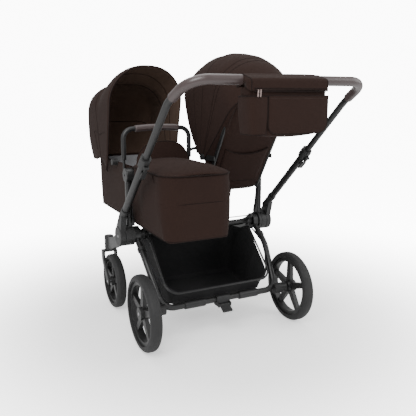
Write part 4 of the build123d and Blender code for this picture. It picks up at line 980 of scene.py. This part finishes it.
def handle_cover():
    """Foam over the carry handle's bow and a padded, slightly arched grip over its middle."""
    lo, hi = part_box("carry_handle")
    r = 0.0055
    x0, x1, y, top = lo.x + r, hi.x - r, 0.290 + AXLE_Y, hi.z - r
    corner = 0.042
    turn = np.linspace(0, np.pi / 2, 14)
    legs = np.linspace(0.722, top - corner, 14)[:-1]
    left = np.stack([np.concatenate([np.full(13, x0), x0 + corner * (1 - np.cos(turn))]), np.full(27, y),
                     np.concatenate([legs, top - corner + corner * np.sin(turn)])], -1)
    right = left[::-1] * (-1, 1, 1) + (x0 + x1, 0, 0)
    path = np.concatenate([left, right])
    tube("carry_handle_foam", path, (0, 1, 0), 0.0102, "carry_handle_body", satin_black, sides=20)
    a = np.linspace(-1, 1, 40)
    middle = (x0 + x1) / 2
    arch = np.stack([middle + a * 0.098, np.full(40, y), top + 0.0045 * (1 - a ** 2)], -1)
    tube("carry_grip_pad", arch, (0, 1, 0), 0.0142, "carry_handle_body", leather, sides=24)
    stitches("carry_grip_seam", arch + (0, 0.0146, 0), (0, 1, 0), "carry_handle_body", thread_brown,
             pitch=0.005, long=0.0034, thick=0.0007)


handle_cover()
bassinet()
apron()
wind_flap()
mattress()
hood()
canopy()
seat()
calf_rest()
bag()
basket()
grip_seams()


# ---------------------------------------------------------------- floor, light and camera
def area_light(name, place, aim, size, power):
    data = bpy.data.lights.new(name, "AREA")
    data.shape = "SQUARE"
    data.size = size
    data.energy = power
    made = bpy.data.objects.new(name, data)
    bpy.context.scene.collection.objects.link(made)
    made.location = place
    made.rotation_euler = (Vector(aim) - Vector(place)).to_track_quat("-Z", "Y").to_euler()
    return made


def studio():
    size = 60.0
    corners = [(-size, -size, 0), (size, -size, 0), (size, size, 0), (-size, size, 0)]
    mesh = bpy.data.meshes.new("floor")
    mesh.from_pydata(corners, [], [(0, 1, 2, 3)])
    made, tree, shader = material("pale_floor")
    here = add(tree, "ShaderNodeTexCoord").outputs["Object"]
    tint = add(tree, "ShaderNodeMapRange", inputs={
        "Value": noise(tree, here, 3.0), "To Min": 0.93, "To Max": 0.96})
    both = add(tree, "ShaderNodeCombineColor", inputs={k: tint.outputs[0] for k in (0, 1, 2)})
    tree.links.new(both.outputs[0], shader.inputs["Base Color"])
    # Painted light: the floor glows for camera rays only. The glow is weak near the stroller and full far
    # from it, so the floor looks white far off while the real shadow near the stroller stays.
    seen = add(tree, "ShaderNodeLightPath").outputs["Is Camera Ray"]
    far = add(tree, "ShaderNodeVectorMath", operation="LENGTH", inputs={0: here}).outputs["Value"]
    far = add(tree, "ShaderNodeMapRange", interpolation_type="SMOOTHSTEP", inputs={
        "Value": far, "From Min": 0.5, "From Max": 2.2, "To Min": 0.06, "To Max": 1.0}).outputs[0]
    far = maths(tree, "MULTIPLY", seen, far)
    painted_floor_glow = add(tree, "ShaderNodeCombineColor", inputs={k: far for k in (0, 1, 2)})
    tree.links.new(painted_floor_glow.outputs[0], shader.inputs["Emission Color"])
    shader.inputs["Emission Strength"].default_value = 10.0
    shader.inputs["Roughness"].default_value = 0.8
    floor = bpy.data.objects.new("floor", mesh)
    mesh.materials.append(made)
    bpy.context.scene.collection.objects.link(floor)
    world = bpy.data.worlds.new("studio")
    world.use_nodes = True
    tree = world.node_tree
    seen = add(tree, "ShaderNodeLightPath").outputs["Is Camera Ray"]
    tree.nodes["Background"].inputs["Color"].default_value = (1, 1, 1, 1)
    tree.links.new(maths(tree, "MULTIPLY_ADD", seen, 10.0, 0.85), tree.nodes["Background"].inputs["Strength"])
    bpy.context.scene.world = world
    area_light("key", (-2.2, -2.6, 3.2), (0, 0, 0.6), 2.4, 170)
    area_light("fill", (2.8, -1.6, 2.0), (0, 0, 0.6), 2.6, 60)
    area_light("top", (0, 0.6, 3.4), (0, 0, 0.5), 2.8, 60)
    lens = bpy.data.cameras.new("view")
    lens.lens = 45.78
    lens.sensor_width = 36
    eye = bpy.data.objects.new("view", lens)
    bpy.context.scene.collection.objects.link(eye)
    eye.location = (-0.9946, -1.8488 + AXLE_Y, 0.9788)
    aim = Vector((0.061, 0.25 + AXLE_Y, 0.488))
    eye.rotation_euler = (aim - eye.location).to_track_quat("-Z", "Y").to_euler()
    bpy.context.scene.camera = eye


studio()
